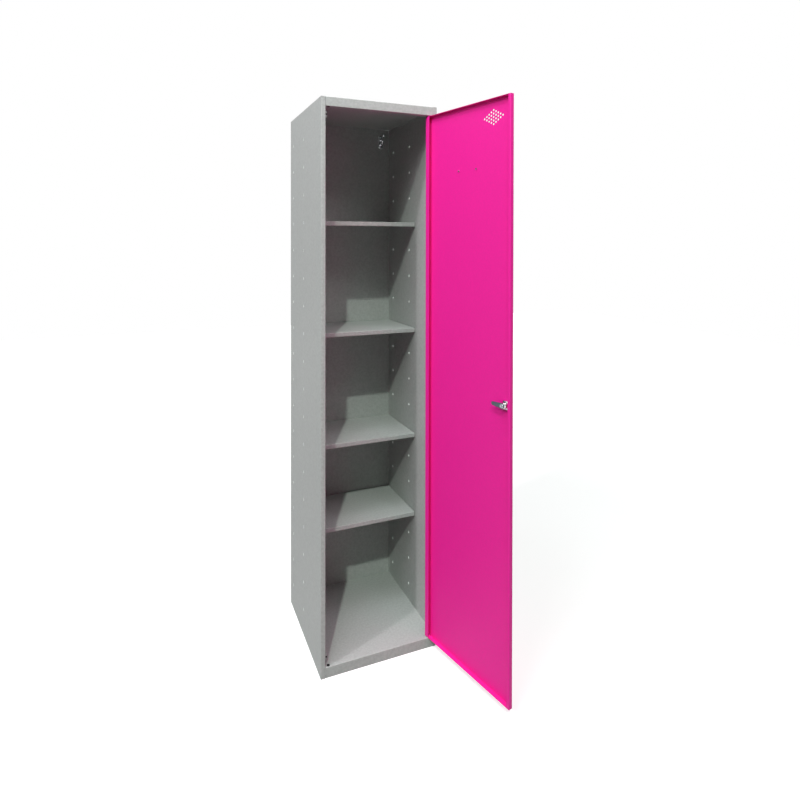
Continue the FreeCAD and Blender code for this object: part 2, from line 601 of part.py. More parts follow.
def door_panel():
    """Face folded back at all four edges, with a lip on the hinge edge and one on the free edge."""
    tray = rounded_tray_block(0, DOOR_BEND_RADIUS + DOOR_SHEET)
    tray = tray.cut(rounded_tray_block(DOOR_SHEET, DOOR_BEND_RADIUS))
    window = block((-DOOR_HALF_WIDTH + FREE_EDGE_LIP, DOOR_HALF_WIDTH - HINGE_EDGE_LIP),
                   (DOOR_REAR_Y - 2 * DOOR_SHEET, DOOR_REAR_Y + CUT_MARGIN),
                   (DOOR_BOTTOM + DOOR_SHEET, DOOR_TOP - DOOR_SHEET))
    holes = vent_holes()
    clearance = 2 * BARREL_HOLE_CLEARANCE
    holes.append(barrel_section(BARREL_DIAMETER + clearance, BARREL_FLATS + clearance,
                                FRONT_Y - CUT_MARGIN, DOOR_INNER_Y + CUT_MARGIN))
    for x in rivet_places():
        holes.append(bar_along_y(RIVET_DIAMETER + 2 * RIVET_FIT_CLEARANCE, x, FRONT_Y - CUT_MARGIN,
                                 DOOR_INNER_Y + CUT_MARGIN, CARD_HOLDER_Z))
    pin_hole = PIN_DIAMETER + 2 * RUNNING_CLEARANCE
    for z in (DOOR_BOTTOM + DOOR_SHEET / 2, DOOR_TOP - DOOR_SHEET / 2):
        holes.append(bar_along_z(pin_hole, PIN_X, PIN_Y, z - CUT_MARGIN, z + CUT_MARGIN))
    return tray.cut([window] + holes)


def hinge_plate(flange_z, inward):
    """Angle welded in the door's corner, with the hole that carries the pin."""
    x_end = DOOR_HALF_WIDTH - DOOR_SHEET
    y_range = (DOOR_INNER_Y + DOOR_BEND_RADIUS, DOOR_REAR_Y - DOOR_SHEET - DOOR_BEND_RADIUS)
    level_ends = sorted((flange_z, flange_z + inward * HINGE_PLATE_SHEET))
    upright_ends = sorted((flange_z, flange_z + inward * HINGE_PLATE_LEG))
    level = block((x_end - HINGE_PLATE_LENGTH, x_end), y_range, level_ends)
    upright = block((x_end - HINGE_PLATE_SHEET, x_end), y_range, upright_ends)
    hole = bar_along_z(PIN_DIAMETER + 2 * RUNNING_CLEARANCE, PIN_X, PIN_Y, level_ends[0] - CUT_MARGIN,
                       level_ends[1] + CUT_MARGIN)
    return fused(level, [upright]).cut(hole)


def hinge_pin(flange_z, inward, bush_z):
    """Headed pin from the hinge plate through the door's flange and the bush."""
    seat = flange_z + inward * HINGE_PLATE_SHEET
    head = bar_along_z(PIN_HEAD_DIAMETER, PIN_X, PIN_Y, seat, seat + inward * PIN_HEAD_HEIGHT)
    shank = bar_along_z(PIN_DIAMETER, PIN_X, PIN_Y, seat, bush_z - inward * PIN_REACH)
    return fused(head, [shank])


def pivot_washer():
    """Washer that carries the door on the lower bush."""
    bottom = OPENING_BOTTOM + BUSH_FLANGE_HEIGHT + RUNNING_CLEARANCE
    top = DOOR_BOTTOM - RUNNING_CLEARANCE
    ring = bar_along_z(BUSH_FLANGE_DIAMETER, PIN_X, PIN_Y, bottom, top)
    return ring.cut(bar_along_z(PIN_DIAMETER + 2 * RUNNING_CLEARANCE, PIN_X, PIN_Y, bottom - CUT_MARGIN,
                                top + CUT_MARGIN))


def lock_housing():
    """Bezel on the door's face and a barrel with flats behind it, bored for the plug."""
    bezel = bar_along_y(BEZEL_DIAMETER, LOCK_X, BEZEL_FRONT_Y, FRONT_Y, LOCK_HEIGHT)
    rim = [edge for edge in bezel.Edges if edge.Curve.TypeId == "Part::GeomCircle"
           and abs(edge.Curve.Center.y - BEZEL_FRONT_Y) < SEAM_GAP]
    bezel = bezel.makeFillet(BEZEL_HEIGHT / 2, rim)
    barrel = barrel_section(BARREL_DIAMETER, BARREL_FLATS, FRONT_Y, BARREL_REAR_Y)
    bore = bar_along_y(PLUG_DIAMETER + 2 * RUNNING_CLEARANCE, LOCK_X, BEZEL_FRONT_Y - CUT_MARGIN,
                       BARREL_REAR_Y + CUT_MARGIN, LOCK_HEIGHT)
    recess = bar_along_y(PLUG_FACE_DIAMETER + 2 * RUNNING_CLEARANCE, LOCK_X, BEZEL_FRONT_Y - CUT_MARGIN,
                         BEZEL_FRONT_Y + PLUG_FACE_HEIGHT, LOCK_HEIGHT)
    return fused(bezel, [barrel]).cut([bore, recess])


def lock_nut():
    """Thin hexagon nut that clamps the housing to the door's face from inside."""
    rear = DOOR_INNER_Y + LOCK_NUT_HEIGHT
    nut = hexagon_along_y(LOCK_NUT_ACROSS_FLATS, LOCK_X, DOOR_INNER_Y, rear, LOCK_HEIGHT)
    bore = barrel_section(BARREL_DIAMETER + 2 * BARREL_HOLE_CLEARANCE, BARREL_DIAMETER * 2,
                          DOOR_INNER_Y - CUT_MARGIN, rear + CUT_MARGIN)
    return nut.cut(bore)


def lock_plug():
    """Turning core: face with keyway, round body and a square end for the cam, tapped for its screw."""
    face_start = BEZEL_FRONT_Y
    face_end = BEZEL_FRONT_Y + PLUG_FACE_HEIGHT - RUNNING_CLEARANCE
    face = bar_along_y(PLUG_FACE_DIAMETER, LOCK_X, face_start, face_end, LOCK_HEIGHT)
    body = bar_along_y(PLUG_DIAMETER, LOCK_X, face_end, BARREL_REAR_Y, LOCK_HEIGHT)
    square = block((LOCK_X - CAM_SQUARE / 2, LOCK_X + CAM_SQUARE / 2),
                   (BARREL_REAR_Y, CAM_REAR_Y - SEAM_GAP),
                   (LOCK_HEIGHT - CAM_SQUARE / 2, LOCK_HEIGHT + CAM_SQUARE / 2))
    keyway = block((LOCK_X - KEYWAY_WIDTH / 2, LOCK_X + KEYWAY_WIDTH / 2),
                   (face_start - CUT_MARGIN, face_start + KEYWAY_DEPTH),
                   (LOCK_HEIGHT - KEYWAY_HEIGHT / 2, LOCK_HEIGHT + KEYWAY_HEIGHT / 2))
    screw_hole = bar_along_y(CAM_SCREW_DIAMETER + 2 * CAM_SQUARE_CLEARANCE, LOCK_X,
                             CAM_REAR_Y - CAM_SCREW_LENGTH, CAM_REAR_Y + CUT_MARGIN, LOCK_HEIGHT)
    return fused(face, [body, square]).cut([keyway, screw_hole])


def lock_cam():
    """Tapered tongue with round ends that points at the hinge when unlocked."""
    root = bar_along_y(CAM_ROOT_WIDTH, LOCK_X, CAM_FRONT_Y, CAM_REAR_Y, LOCK_HEIGHT)
    tip_x = LOCK_X + CAM_LENGTH - CAM_TIP_WIDTH / 2
    tip = bar_along_y(CAM_TIP_WIDTH, tip_x, CAM_FRONT_Y, CAM_REAR_Y, LOCK_HEIGHT)
    lean = math.asin((CAM_ROOT_WIDTH - CAM_TIP_WIDTH) / 2 / (tip_x - LOCK_X))
    outline = []
    for x, width, side in ((LOCK_X, CAM_ROOT_WIDTH, 1), (tip_x, CAM_TIP_WIDTH, 1),
                           (tip_x, CAM_TIP_WIDTH, -1), (LOCK_X, CAM_ROOT_WIDTH, -1)):
        outline.append(point(x + width / 2 * math.sin(lean), CAM_FRONT_Y,
                             LOCK_HEIGHT + side * width / 2 * math.cos(lean)))
    outline.append(outline[0])
    web = Part.Face(Part.makePolygon(outline)).extrude(point(0, CAM_SHEET, 0))
    half_hole = CAM_SQUARE / 2 + CAM_SQUARE_CLEARANCE
    hole = block((LOCK_X - half_hole, LOCK_X + half_hole),
                 (CAM_FRONT_Y - CUT_MARGIN, CAM_REAR_Y + CUT_MARGIN),
                 (LOCK_HEIGHT - half_hole, LOCK_HEIGHT + half_hole))
    return fused(root, [tip, web]).cut(hole)


def cam_washer():
    rear = CAM_REAR_Y + CAM_WASHER_HEIGHT
    ring = bar_along_y(CAM_WASHER_DIAMETER, LOCK_X, CAM_REAR_Y, rear, LOCK_HEIGHT)
    bore = bar_along_y(CAM_SCREW_DIAMETER + 2 * CAM_SQUARE_CLEARANCE, LOCK_X, CAM_REAR_Y - CUT_MARGIN,
                       rear + CUT_MARGIN, LOCK_HEIGHT)
    return ring.cut(bore)


def cam_screw():
    """Hexagon-headed screw that holds the cam on the plug."""
    seat = CAM_REAR_Y + CAM_WASHER_HEIGHT
    head_rear = seat + CAM_SCREW_HEAD_HEIGHT
    head = hexagon_along_y(CAM_SCREW_ACROSS_FLATS, LOCK_X, seat, head_rear, LOCK_HEIGHT)
    shank = bar_along_y(CAM_SCREW_DIAMETER, LOCK_X, seat - CAM_SCREW_LENGTH, seat, LOCK_HEIGHT)
    return fused(head, [shank])


def card_holder():
    """Frame on the door's face with a pocket for a card, open at one end, and an ear at each end."""
    half_height = CARD_HOLDER_HEIGHT / 2
    z_range = (CARD_HOLDER_Z - half_height, CARD_HOLDER_Z + half_height)
    base = block((-CARD_HOLDER_HALF_WIDTH, CARD_HOLDER_HALF_WIDTH),
                 (CARD_HOLDER_FACE_Y, FRONT_Y), z_range)
    frame_half = CARD_FRAME_HALF_WIDTH
    rim_front = CARD_HOLDER_FACE_Y - CARD_HOLDER_RIM
    rim = block((-frame_half, frame_half), (rim_front, CARD_HOLDER_FACE_Y), z_range)
    pocket_half = half_height - CARD_HOLDER_BORDER + CARD_HOLDER_OVERLAP
    pocket = block((-frame_half - CUT_MARGIN, frame_half - CARD_CLEARANCE),
                   (CARD_HOLDER_FACE_Y - CARD_THICKNESS - CARD_CLEARANCE, CARD_HOLDER_FACE_Y),
                   (CARD_HOLDER_Z - pocket_half, CARD_HOLDER_Z + pocket_half))
    window = block((-frame_half - CUT_MARGIN, frame_half - CARD_HOLDER_BORDER),
                   (rim_front - CUT_MARGIN, CARD_HOLDER_FACE_Y),
                   (z_range[0] + CARD_HOLDER_BORDER, z_range[1] - CARD_HOLDER_BORDER))
    holder = fused(base, [rim]).cut([pocket, window])
    holes = [bar_along_y(RIVET_DIAMETER + 2 * RIVET_FIT_CLEARANCE, x, rim_front - CUT_MARGIN,
                         FRONT_Y + CUT_MARGIN, CARD_HOLDER_Z) for x in rivet_places()]
    return holder.cut(holes)


def name_card():
    """Blank card in the holder's pocket."""
    half_height = CARD_HOLDER_HEIGHT / 2 - CARD_HOLDER_BORDER + CARD_HOLDER_OVERLAP - CARD_CLEARANCE
    return block((-CARD_WIDTH / 2, CARD_WIDTH / 2 - CARD_CLEARANCE),
                 (CARD_HOLDER_FACE_Y - CARD_THICKNESS, CARD_HOLDER_FACE_Y),
                 (CARD_HOLDER_Z - half_height, CARD_HOLDER_Z + half_height))


def card_holder_rivets():
    """Blind rivets: head on the holder, shank through the door and a hollow tail inside."""
    rivets = []
    for x in rivet_places():
        head_front = CARD_HOLDER_FACE_Y - RIVET_HEAD_HEIGHT
        tail_rear = DOOR_INNER_Y + RIVET_TAIL_HEIGHT
        head = bar_along_y(RIVET_HEAD_DIAMETER, x, head_front, CARD_HOLDER_FACE_Y, CARD_HOLDER_Z)
        shank = bar_along_y(RIVET_DIAMETER, x, CARD_HOLDER_FACE_Y, DOOR_INNER_Y, CARD_HOLDER_Z)
        tail = bar_along_y(RIVET_TAIL_DIAMETER, x, DOOR_INNER_Y, tail_rear, CARD_HOLDER_Z)
        bore = bar_along_y(RIVET_BORE_DIAMETER, x, tail_rear - RIVET_BORE_DEPTH, tail_rear + CUT_MARGIN,
                           CARD_HOLDER_Z)
        rivets.append(fused(head, [shank, tail]).cut(bore))
    return Part.makeCompound(rivets)


# ---- Assembly -----------------------------------------------------------------------------------
def swung_open(shape):
    """Turn a door piece about the pins from shut to where the door stands open."""
    turned = shape.copy()
    turned.rotate(point(PIN_X, PIN_Y, 0), point(0, 0, 1), DOOR_REST_ANGLE)
    return turned


def carcass_pieces():
    left_panel = side_panel_left()
    left_hook = coat_hook(-HOOK_X)
    pieces = {
        "side_panel_left": left_panel,
        "side_panel_right": mirrored_left_to_right(left_panel),
        "back_panel": back_panel(),
        "top_panel": top_panel(),
        "base_panel": base_panel(),
        "pivot_bush_upper": pivot_bush(PIN_X, OPENING_TOP, 1),
        "pivot_bush_lower": pivot_bush(PIN_X, OPENING_BOTTOM, -1),
        "spare_bush_upper": pivot_bush(-PIN_X, OPENING_TOP, 1),
        "spare_bush_lower": pivot_bush(-PIN_X, OPENING_BOTTOM, -1),
        "pivot_washer": pivot_washer(),
        "door_stops": door_stops(),
        "stop_buffers": stop_buffers(),
        "coat_hook_left": left_hook,
        "coat_hook_right": mirrored_left_to_right(left_hook),
        "coat_hook_screws": coat_hook_screws(),
    }
    for number, row in enumerate(SHELF_PEG_ROWS, start=1):
        pieces["shelf_%d" % number] = shelf(row)
        pieces["shelf_clips_%d" % number] = shelf_clips(row)
    return pieces


def door_pieces():
    lower_flange = DOOR_BOTTOM + DOOR_SHEET
    upper_flange = DOOR_TOP - DOOR_SHEET
    pieces = {
        "door_panel": door_panel(),
        "hinge_plate_upper": hinge_plate(upper_flange, -1),
        "hinge_plate_lower": hinge_plate(lower_flange, 1),
        "hinge_pin_upper": hinge_pin(upper_flange, -1, OPENING_TOP),
        "hinge_pin_lower": hinge_pin(lower_flange, 1, OPENING_BOTTOM),
        "lock_housing": lock_housing(),
        "lock_nut": lock_nut(),
        "lock_plug": lock_plug(),
        "lock_cam": lock_cam(),
        "cam_washer": cam_washer(),
        "cam_screw": cam_screw(),
        "card_holder": card_holder(),
        "card_holder_rivets": card_holder_rivets(),
        "name_card": name_card(),
    }
    return {name: swung_open(shape) for name, shape in pieces.items()}


def main():
    os.makedirs("parts", exist_ok=True)
    pieces = carcass_pieces()
    pieces.update(door_pieces())
    for name, shape in pieces.items():
        shape.exportStep("parts/%s.step" % name)


main()
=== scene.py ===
import json
import math

import bmesh
import bpy
import numpy as np
from bpy.props import FloatProperty, FloatVectorProperty, IntProperty, PointerProperty
from mathutils import Matrix, Vector

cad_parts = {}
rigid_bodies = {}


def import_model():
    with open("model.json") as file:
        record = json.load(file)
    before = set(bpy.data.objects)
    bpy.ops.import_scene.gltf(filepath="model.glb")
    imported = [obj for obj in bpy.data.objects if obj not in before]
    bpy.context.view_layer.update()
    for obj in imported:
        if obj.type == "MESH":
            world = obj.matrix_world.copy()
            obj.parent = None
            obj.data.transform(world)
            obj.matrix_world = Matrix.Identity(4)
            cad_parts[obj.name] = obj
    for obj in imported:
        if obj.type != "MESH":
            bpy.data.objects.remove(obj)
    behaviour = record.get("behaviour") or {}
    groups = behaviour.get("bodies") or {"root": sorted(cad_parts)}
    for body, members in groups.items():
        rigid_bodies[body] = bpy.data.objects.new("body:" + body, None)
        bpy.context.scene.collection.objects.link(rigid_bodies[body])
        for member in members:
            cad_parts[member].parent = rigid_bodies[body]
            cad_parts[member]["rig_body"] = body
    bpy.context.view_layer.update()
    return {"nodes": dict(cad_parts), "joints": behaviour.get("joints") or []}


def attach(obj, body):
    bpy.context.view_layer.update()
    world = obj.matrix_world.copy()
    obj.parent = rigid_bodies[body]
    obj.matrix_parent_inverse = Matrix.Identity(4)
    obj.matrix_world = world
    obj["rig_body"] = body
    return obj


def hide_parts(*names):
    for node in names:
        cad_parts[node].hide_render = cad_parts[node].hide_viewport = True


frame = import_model()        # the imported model: its bodies, nodes, joints and record

bl_info = {
    "name": "Sheet-steel broom cupboard",
    "version": (1, 0, 0),
    "blender": (4, 5, 0),
    "location": "3D View > Sidebar > Cupboard",
    "description": "Finishes, fittings and stage for a broom cupboard with one door and four shelves",
    "category": "Add Mesh",
}

# Shapes are worked out in millimetres and put into meshes in metres.
MM = 0.001
MERGE_DISTANCE = 2e-6
FULL_TURN = 2 * math.pi
# How much of a coat's mottle lies in broad clouds, where the powder lies thicker.
CLOUD_SHARE = 0.15


# ---- Colours -------------------------------------------------------------------------------------
def linear(code):
    """The linear red, green and blue of an sRGB colour written as six hex digits."""
    srgb = np.array([int(code[start:start + 2], 16) for start in (0, 2, 4)]) / 255
    return np.where(srgb <= 0.04045, srgb / 12.92, ((srgb + 0.055) / 1.055) ** 2.4).tolist()


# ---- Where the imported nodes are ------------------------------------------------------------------
DOOR_HINGE = next(joint for joint in frame["joints"] if joint["name"] == "door_hinge")
HINGE_LINE = np.array(DOOR_HINGE["pos_m"]) / MM
OPEN_TURN = math.radians(-DOOR_HINGE["range_deg"][0])


def turned_about_hinge(points, angle):
    """Points turned by an angle about the upright line of the door's pins."""
    cosine, sine = math.cos(angle), math.sin(angle)
    turn = np.array([[cosine, sine, 0], [-sine, cosine, 0], [0, 0, 1]])
    return (points - HINGE_LINE) @ turn + HINGE_LINE


def extent(node):
    """Lowest and highest corner of a node in millimetres; a door node is measured with the door shut."""
    thing = frame["nodes"][node]
    points = np.empty(len(thing.data.vertices) * 3)
    thing.data.vertices.foreach_get("co", points)
    points = points.reshape(-1, 3) / MM
    if thing["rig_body"] in ("door", "lock_core"):
        points = turned_about_hinge(points, -OPEN_TURN)
    return points.min(0), points.max(0)


# ---- Surfaces ------------------------------------------------------------------------------------
def rounded(corners, radius, closed=False, steps=4):
    """A polyline with its corners eased: each corner gives way to a parabola that leaves one side and
    meets the other at a distance radius from the corner, or at 0.45 of a side that is too short."""
    points = np.asarray(corners, float)

    def along_side(neighbours):
        side = neighbours - points
        length = np.linalg.norm(side, axis=1)
        return points + side * np.minimum(radius / np.maximum(length, MERGE_DISTANCE), 0.45)[:, None]

    t = np.linspace(0, 1, steps + 1)[None, :, None]
    bows = ((1 - t) ** 2 * along_side(np.roll(points, 1, 0))[:, None]
            + 2 * t * (1 - t) * points[:, None]
            + t ** 2 * along_side(np.roll(points, -1, 0))[:, None])
    if closed:
        return bows.reshape(-1, 2)
    return np.vstack([points[:1], bows[1:-1].reshape(-1, 2), points[-1:]])


def angles(columns):
    return np.arange(columns) * FULL_TURN / columns


def turned(radius, height, origin, upright=False, columns=64):
    """A turned surface: at each angle round the axis through origin the profile stands at its radius
    and height.  Both are one value a row, or one a row and column where the turning isn't round.
    The axis runs to the back, or upwards where upright is true."""
    radius = np.atleast_2d(np.asarray(radius, float).T).T
    height = np.atleast_2d(np.asarray(height, float).T).T
    columns = max(radius.shape[1], height.shape[1], columns if radius.shape[1] == 1 else 1)
    angle = angles(columns)[None, :]
    across, up = radius * np.cos(angle), radius * np.sin(angle)
    along = np.broadcast_to(height, across.shape)
    order = (across, up, along) if upright else (across, along, up)
    return np.stack(order, -1) + np.asarray(origin, float)


def hexagon(across_flats, columns):
    """Distance from the middle of a hexagon to its side: half the width across flats, divided by the
    cosine of the angle from the middle of the nearest flat."""
    return across_flats / 2 / np.cos(angles(columns) % (math.pi / 3) - math.pi / 6)


def swept(path, radius, x, columns=28):
    """A bar along a path in an upright plane: a circle of the radius that goes with each point of the
    path, square to the path, and in the plane through x."""
    tangent = np.gradient(path, axis=0)
    tangent /= np.linalg.norm(tangent, axis=1, keepdims=True)
    angle = angles(columns)[None, :]
    sideways = radius[:, None] * np.cos(angle)
    upwards = radius[:, None] * np.sin(angle)
    y = path[:, :1] - upwards * tangent[:, 1:]
    z = path[:, 1:] + upwards * tangent[:, :1]
    return np.stack([x + sideways, y, z], -1)


def arc_through(start, middle, end, count):
    """Points along the circle through three points: its centre lies where the perpendicular bisectors
    of the two chords cross."""
    points = np.array([start, middle, end], float)
    chords = points[1:] - points[0]
    centre = points[0] + np.linalg.solve(2 * chords, (chords ** 2).sum(1))
    reach = points - centre
    turn = np.unwrap(np.arctan2(reach[:, 1], reach[:, 0]))
    sweep = np.linspace(turn[0], turn[2], count)
    length = np.linalg.norm(reach[0]) * abs(turn[2] - turn[0])
    return centre + np.linalg.norm(reach[0]) * np.stack([np.cos(sweep), np.sin(sweep)], -1), length


def quads(rows, columns, closed_rows, closed_columns):
    """The four corners of each cell of a grid, with the last row or column joined to the first where
    the surface closes."""
    row = np.arange(rows if closed_rows else rows - 1)[:, None]
    column = np.arange(columns if closed_columns else columns - 1)[None, :]
    next_row, next_column = (row + 1) % rows, (column + 1) % columns
    corners = (row * columns + column, row * columns + next_column,
               next_row * columns + next_column, next_row * columns + column)
    return np.stack(corners, -1).reshape(-1, 4)


def make_piece(name, grids, material, nodes, closed_rows=False, crease=32, adds=False):
    """One mesh from grids of points whose columns close on themselves.  It rides on the nodes' body
    and stands for them, or only adds to them.  Points that coincide are merged, which closes seams
    and poles."""
    body = frame["nodes"][nodes[0]]["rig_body"]
    points, faces, start = [], [], 0
    for grid in grids:
        rows, columns = grid.shape[:2]
        points.append(grid.reshape(-1, 3))
        faces.append(quads(rows, columns, closed_rows, True) + start)
        start += rows * columns
    points = np.vstack(points)
    if body in ("door", "lock_core"):
        points = turned_about_hinge(points, OPEN_TURN)
    mesh = bpy.data.meshes.new(name)
    mesh.from_pydata((points * MM).tolist(), [], np.vstack(faces).tolist())
    shell = bmesh.new()
    shell.from_mesh(mesh)
    bmesh.ops.remove_doubles(shell, verts=shell.verts, dist=MERGE_DISTANCE)
    bmesh.ops.recalc_face_normals(shell, faces=shell.faces)
    shell.to_mesh(mesh)
    shell.free()
    mesh.shade_smooth()
    mesh.set_sharp_from_angle(angle=math.radians(crease))
    mesh.materials.append(material)
    piece = bpy.data.objects.new(name, mesh)
    bpy.context.scene.collection.objects.link(piece)
    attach(piece, body)
    if not adds:
        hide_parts(*nodes)
    return piece


def finish_nodes(material, *nodes):
    """Gives CAD nodes that keep their own shape a finish."""
    for node in nodes:
        for slot in frame["nodes"][node].material_slots:
            slot.material = material


# ---- Materials -----------------------------------------------------------------------------------
def add(tree, kind, inputs=None, **settings):
    """Adds a node with its settings.  Each input is given a value, or a link from a socket."""
    node = tree.nodes.new("ShaderNode" + kind)
    for name, value in settings.items():
        setattr(node, name, value)
    for socket, value in (inputs or {}).items():
        if isinstance(value, bpy.types.NodeSocket):
            tree.links.new(value, node.inputs[socket])
        else:
            node.inputs[socket].default_value = value
    return node


def new_material(name):
    """An empty material, its node tree and the object's own coordinates."""
    material = bpy.data.materials.new(name)
    material.use_nodes = True
    material.node_tree.nodes.clear()
    return material, material.node_tree, add(material.node_tree, "TexCoord").outputs["Object"]


def finish_material(material, shader):
    add(material.node_tree, "OutputMaterial", {"Surface": shader.outputs[0]})
    return material


def per_metre(feature_mm):
    """Noise scale whose features are about this size in millimetres."""
    return 1 / (feature_mm * MM)


def powder_coat(name, colour, roughness, sheen_level, peel_mm, peel_depth_mm, bow_depth_mm, mottle,
                thinning_and_highlight=None):
    """Baked powder coat on rolled sheet: the grains melt into a low orange peel, which breaks up the
    highlight, and the thin sheet bows a little between its folds, which bends it.  The last argument,
    where it is given, makes the factor by which the tone rises round an edge: partly where the coat
    draws back from it, and partly a painted highlight of the light that the edge catches."""
    material, tree, place = new_material(name)
    peel = add(tree, "TexNoise", {"Vector": place, "Scale": per_metre(peel_mm), "Detail": 2.0})
    bow = add(tree, "TexNoise", {"Vector": place, "Scale": per_metre(260), "Detail": 1.0})
    cloud = add(tree, "TexNoise", {"Vector": place, "Scale": per_metre(90), "Detail": 4.0,
                                   "Roughness": 0.6})
    drift = mottle * CLOUD_SHARE
    shade = add(tree, "MapRange", {"Value": cloud.outputs["Fac"], "From Min": 0.25, "From Max": 0.75,
                                   "To Min": 1 - drift, "To Max": 1 + drift})
    grain = add(tree, "MapRange", {"Value": peel.outputs["Fac"], "From Min": 0.3, "From Max": 0.7,
                                   "To Min": 1 - mottle, "To Max": 1 + mottle})
    both = add(tree, "Math", {0: shade.outputs[0], 1: grain.outputs[0]}, operation="MULTIPLY")
    # Where it is given, the tone rises round edges: partly thinner coat, partly a painted highlight.
    if thinning_and_highlight:
        both = add(tree, "Math", {0: both.outputs[0], 1: thinning_and_highlight(tree, place)}, operation="MULTIPLY")
    tint = add(tree, "HueSaturation", {"Value": both.outputs[0], "Color": (*colour, 1)})
    gloss = add(tree, "MapRange", {"Value": peel.outputs["Fac"], "From Min": 0.3, "From Max": 0.7,
                                   "To Min": roughness - 0.04, "To Max": roughness + 0.04})
    bent = add(tree, "Bump", {"Height": bow.outputs["Fac"], "Distance": bow_depth_mm * MM,
                              "Strength": 1.0})
    rough = add(tree, "Bump", {"Height": peel.outputs["Fac"], "Distance": peel_depth_mm * MM,
                               "Strength": 1.0, "Normal": bent.outputs[0]})
    return finish_material(material, add(tree, "BsdfPrincipled", {
        "Base Color": tint.outputs[0], "Roughness": gloss.outputs[0], "Normal": rough.outputs[0],
        "Specular IOR Level": sheen_level}))


def bare_metal(name, colour, roughness, grain_mm, grain_depth_mm, variation, stretch=(1, 1, 1)):
    """Bare or plated metal: its grain, stretched along the way it was worked, spreads the highlight
    and varies the tone."""
    material, tree, place = new_material(name)
    worked = add(tree, "Mapping", {"Vector": place, "Scale": stretch})
    grain = add(tree, "TexNoise", {"Vector": worked.outputs[0], "Scale": per_metre(grain_mm),
                                   "Detail": 3.0})
    shade = add(tree, "MapRange", {"Value": grain.outputs["Fac"], "From Min": 0.3, "From Max": 0.7,
                                   "To Min": 1 - variation, "To Max": 1 + variation})
    tint = add(tree, "HueSaturation", {"Value": shade.outputs[0], "Color": (*colour, 1)})
    gloss = add(tree, "MapRange", {"Value": grain.outputs["Fac"], "From Min": 0.3, "From Max": 0.7,
                                   "To Min": roughness * 0.75, "To Max": roughness * 1.25})
    bump = add(tree, "Bump", {"Height": grain.outputs["Fac"], "Distance": grain_depth_mm * MM,
                              "Strength": 1.0})
    return finish_material(material, add(tree, "BsdfPrincipled", {
        "Base Color": tint.outputs[0], "Metallic": 1.0, "Roughness": gloss.outputs[0],
        "Normal": bump.outputs[0]}))


def moulded(name, colour, roughness, grain_mm, grain_depth_mm):
    """Moulded plastic, rubber or board: the spark-eroded mould or the pressed fibres leave an even,
    fine grain and a broad, weak highlight."""
    material, tree, place = new_material(name)
    grain = add(tree, "TexNoise", {"Vector": place, "Scale": per_metre(grain_mm), "Detail": 3.0})
    shade = add(tree, "MapRange", {"Value": grain.outputs["Fac"], "From Min": 0.3, "From Max": 0.7,
                                   "To Min": 0.93, "To Max": 1.07})
    tint = add(tree, "HueSaturation", {"Value": shade.outputs[0], "Color": (*colour, 1)})
    gloss = add(tree, "MapRange", {"Value": grain.outputs["Fac"], "From Min": 0.3, "From Max": 0.7,
                                   "To Min": roughness - 0.06, "To Max": roughness + 0.06})
    bump = add(tree, "Bump", {"Height": grain.outputs["Fac"], "Distance": grain_depth_mm * MM,
                              "Strength": 1.0})
    return finish_material(material, add(tree, "BsdfPrincipled", {
        "Base Color": tint.outputs[0], "Roughness": gloss.outputs[0], "Normal": bump.outputs[0]}))


# ---- Sizes and colours that a user would change --------------------------------------------------
def colour_property(name, description, code):
    return FloatVectorProperty(name=name, description=description, subtype="COLOR", size=3,
                               min=0.0, max=1.0, default=linear(code))


def length_property(name, description, millimetres):
    return FloatProperty(name=name, description=description, unit="LENGTH", min=0.0,
                         precision=5, default=millimetres * MM)


class CupboardFinishes(bpy.types.PropertyGroup):
    """Colours of the coats, plated parts and plastics."""
    grey_coat: colour_property("Grey coat", "Powder coat of the carcass and shelves", "B0B5B2")
    pink_coat: colour_property("Pink coat", "Powder coat of the door", "F3229D")
    chrome: colour_property("Chrome", "Plated zinc castings", "D9DBDD")
    zinc: colour_property("Zinc", "Bright zinc plate on steel hardware", "B4B9BE")
    # The cam's zinc is drawn dark: partly its finish, partly a painted dark reflection, since the white
    # surroundings would show bright in the metal.
    dark_zinc_and_painted_reflection: colour_property("Dark zinc, painted reflection", "Zinc plate of the lock's cam", "5A666E")
    # The nails are drawn near black: partly their dark finish, partly painted shade in the rivets' bores.
    dark_steel_and_painted_bore_shade: colour_property("Dark steel, painted bore shade", "Nails left in the blind rivets", "1E1F21")
    nylon: colour_property("Nylon", "Pivot bushes", "17181A")
    rubber: colour_property("Rubber", "Door stop buffers", "1E1E1F")
    brass: colour_property("Brass", "Pivot washer", "C7A257")
    aluminium: colour_property("Aluminium", "Card holder", "C6C8CA")
    card: colour_property("Card", "Blank name card", "EDEBE4")


class CupboardFittings(bpy.types.PropertyGroup):
    """Sizes of details on the fittings."""
    edge_easing: length_property("Edge easing", "Rounding of moulded and turned edges", 0.35)
    thread_pitch: length_property("Thread pitch", "Distance from crest to crest on the lock", 1.0)
    thread_depth: length_property("Thread depth", "Depth of the lock's thread", 0.35)
    recess_depth: length_property("Recess depth", "Depth of the cross recess in the screws", 1.2)
    recess_arm: length_property("Recess arm", "Half length of the cross recess", 2.1)
    hook_taper: length_property("Hook taper", "How much thinner a prong is before its ball", 0.7)
    round_steps: IntProperty(name="Steps round", description="Faces round a turned part",
                             default=72, min=24, max=144)


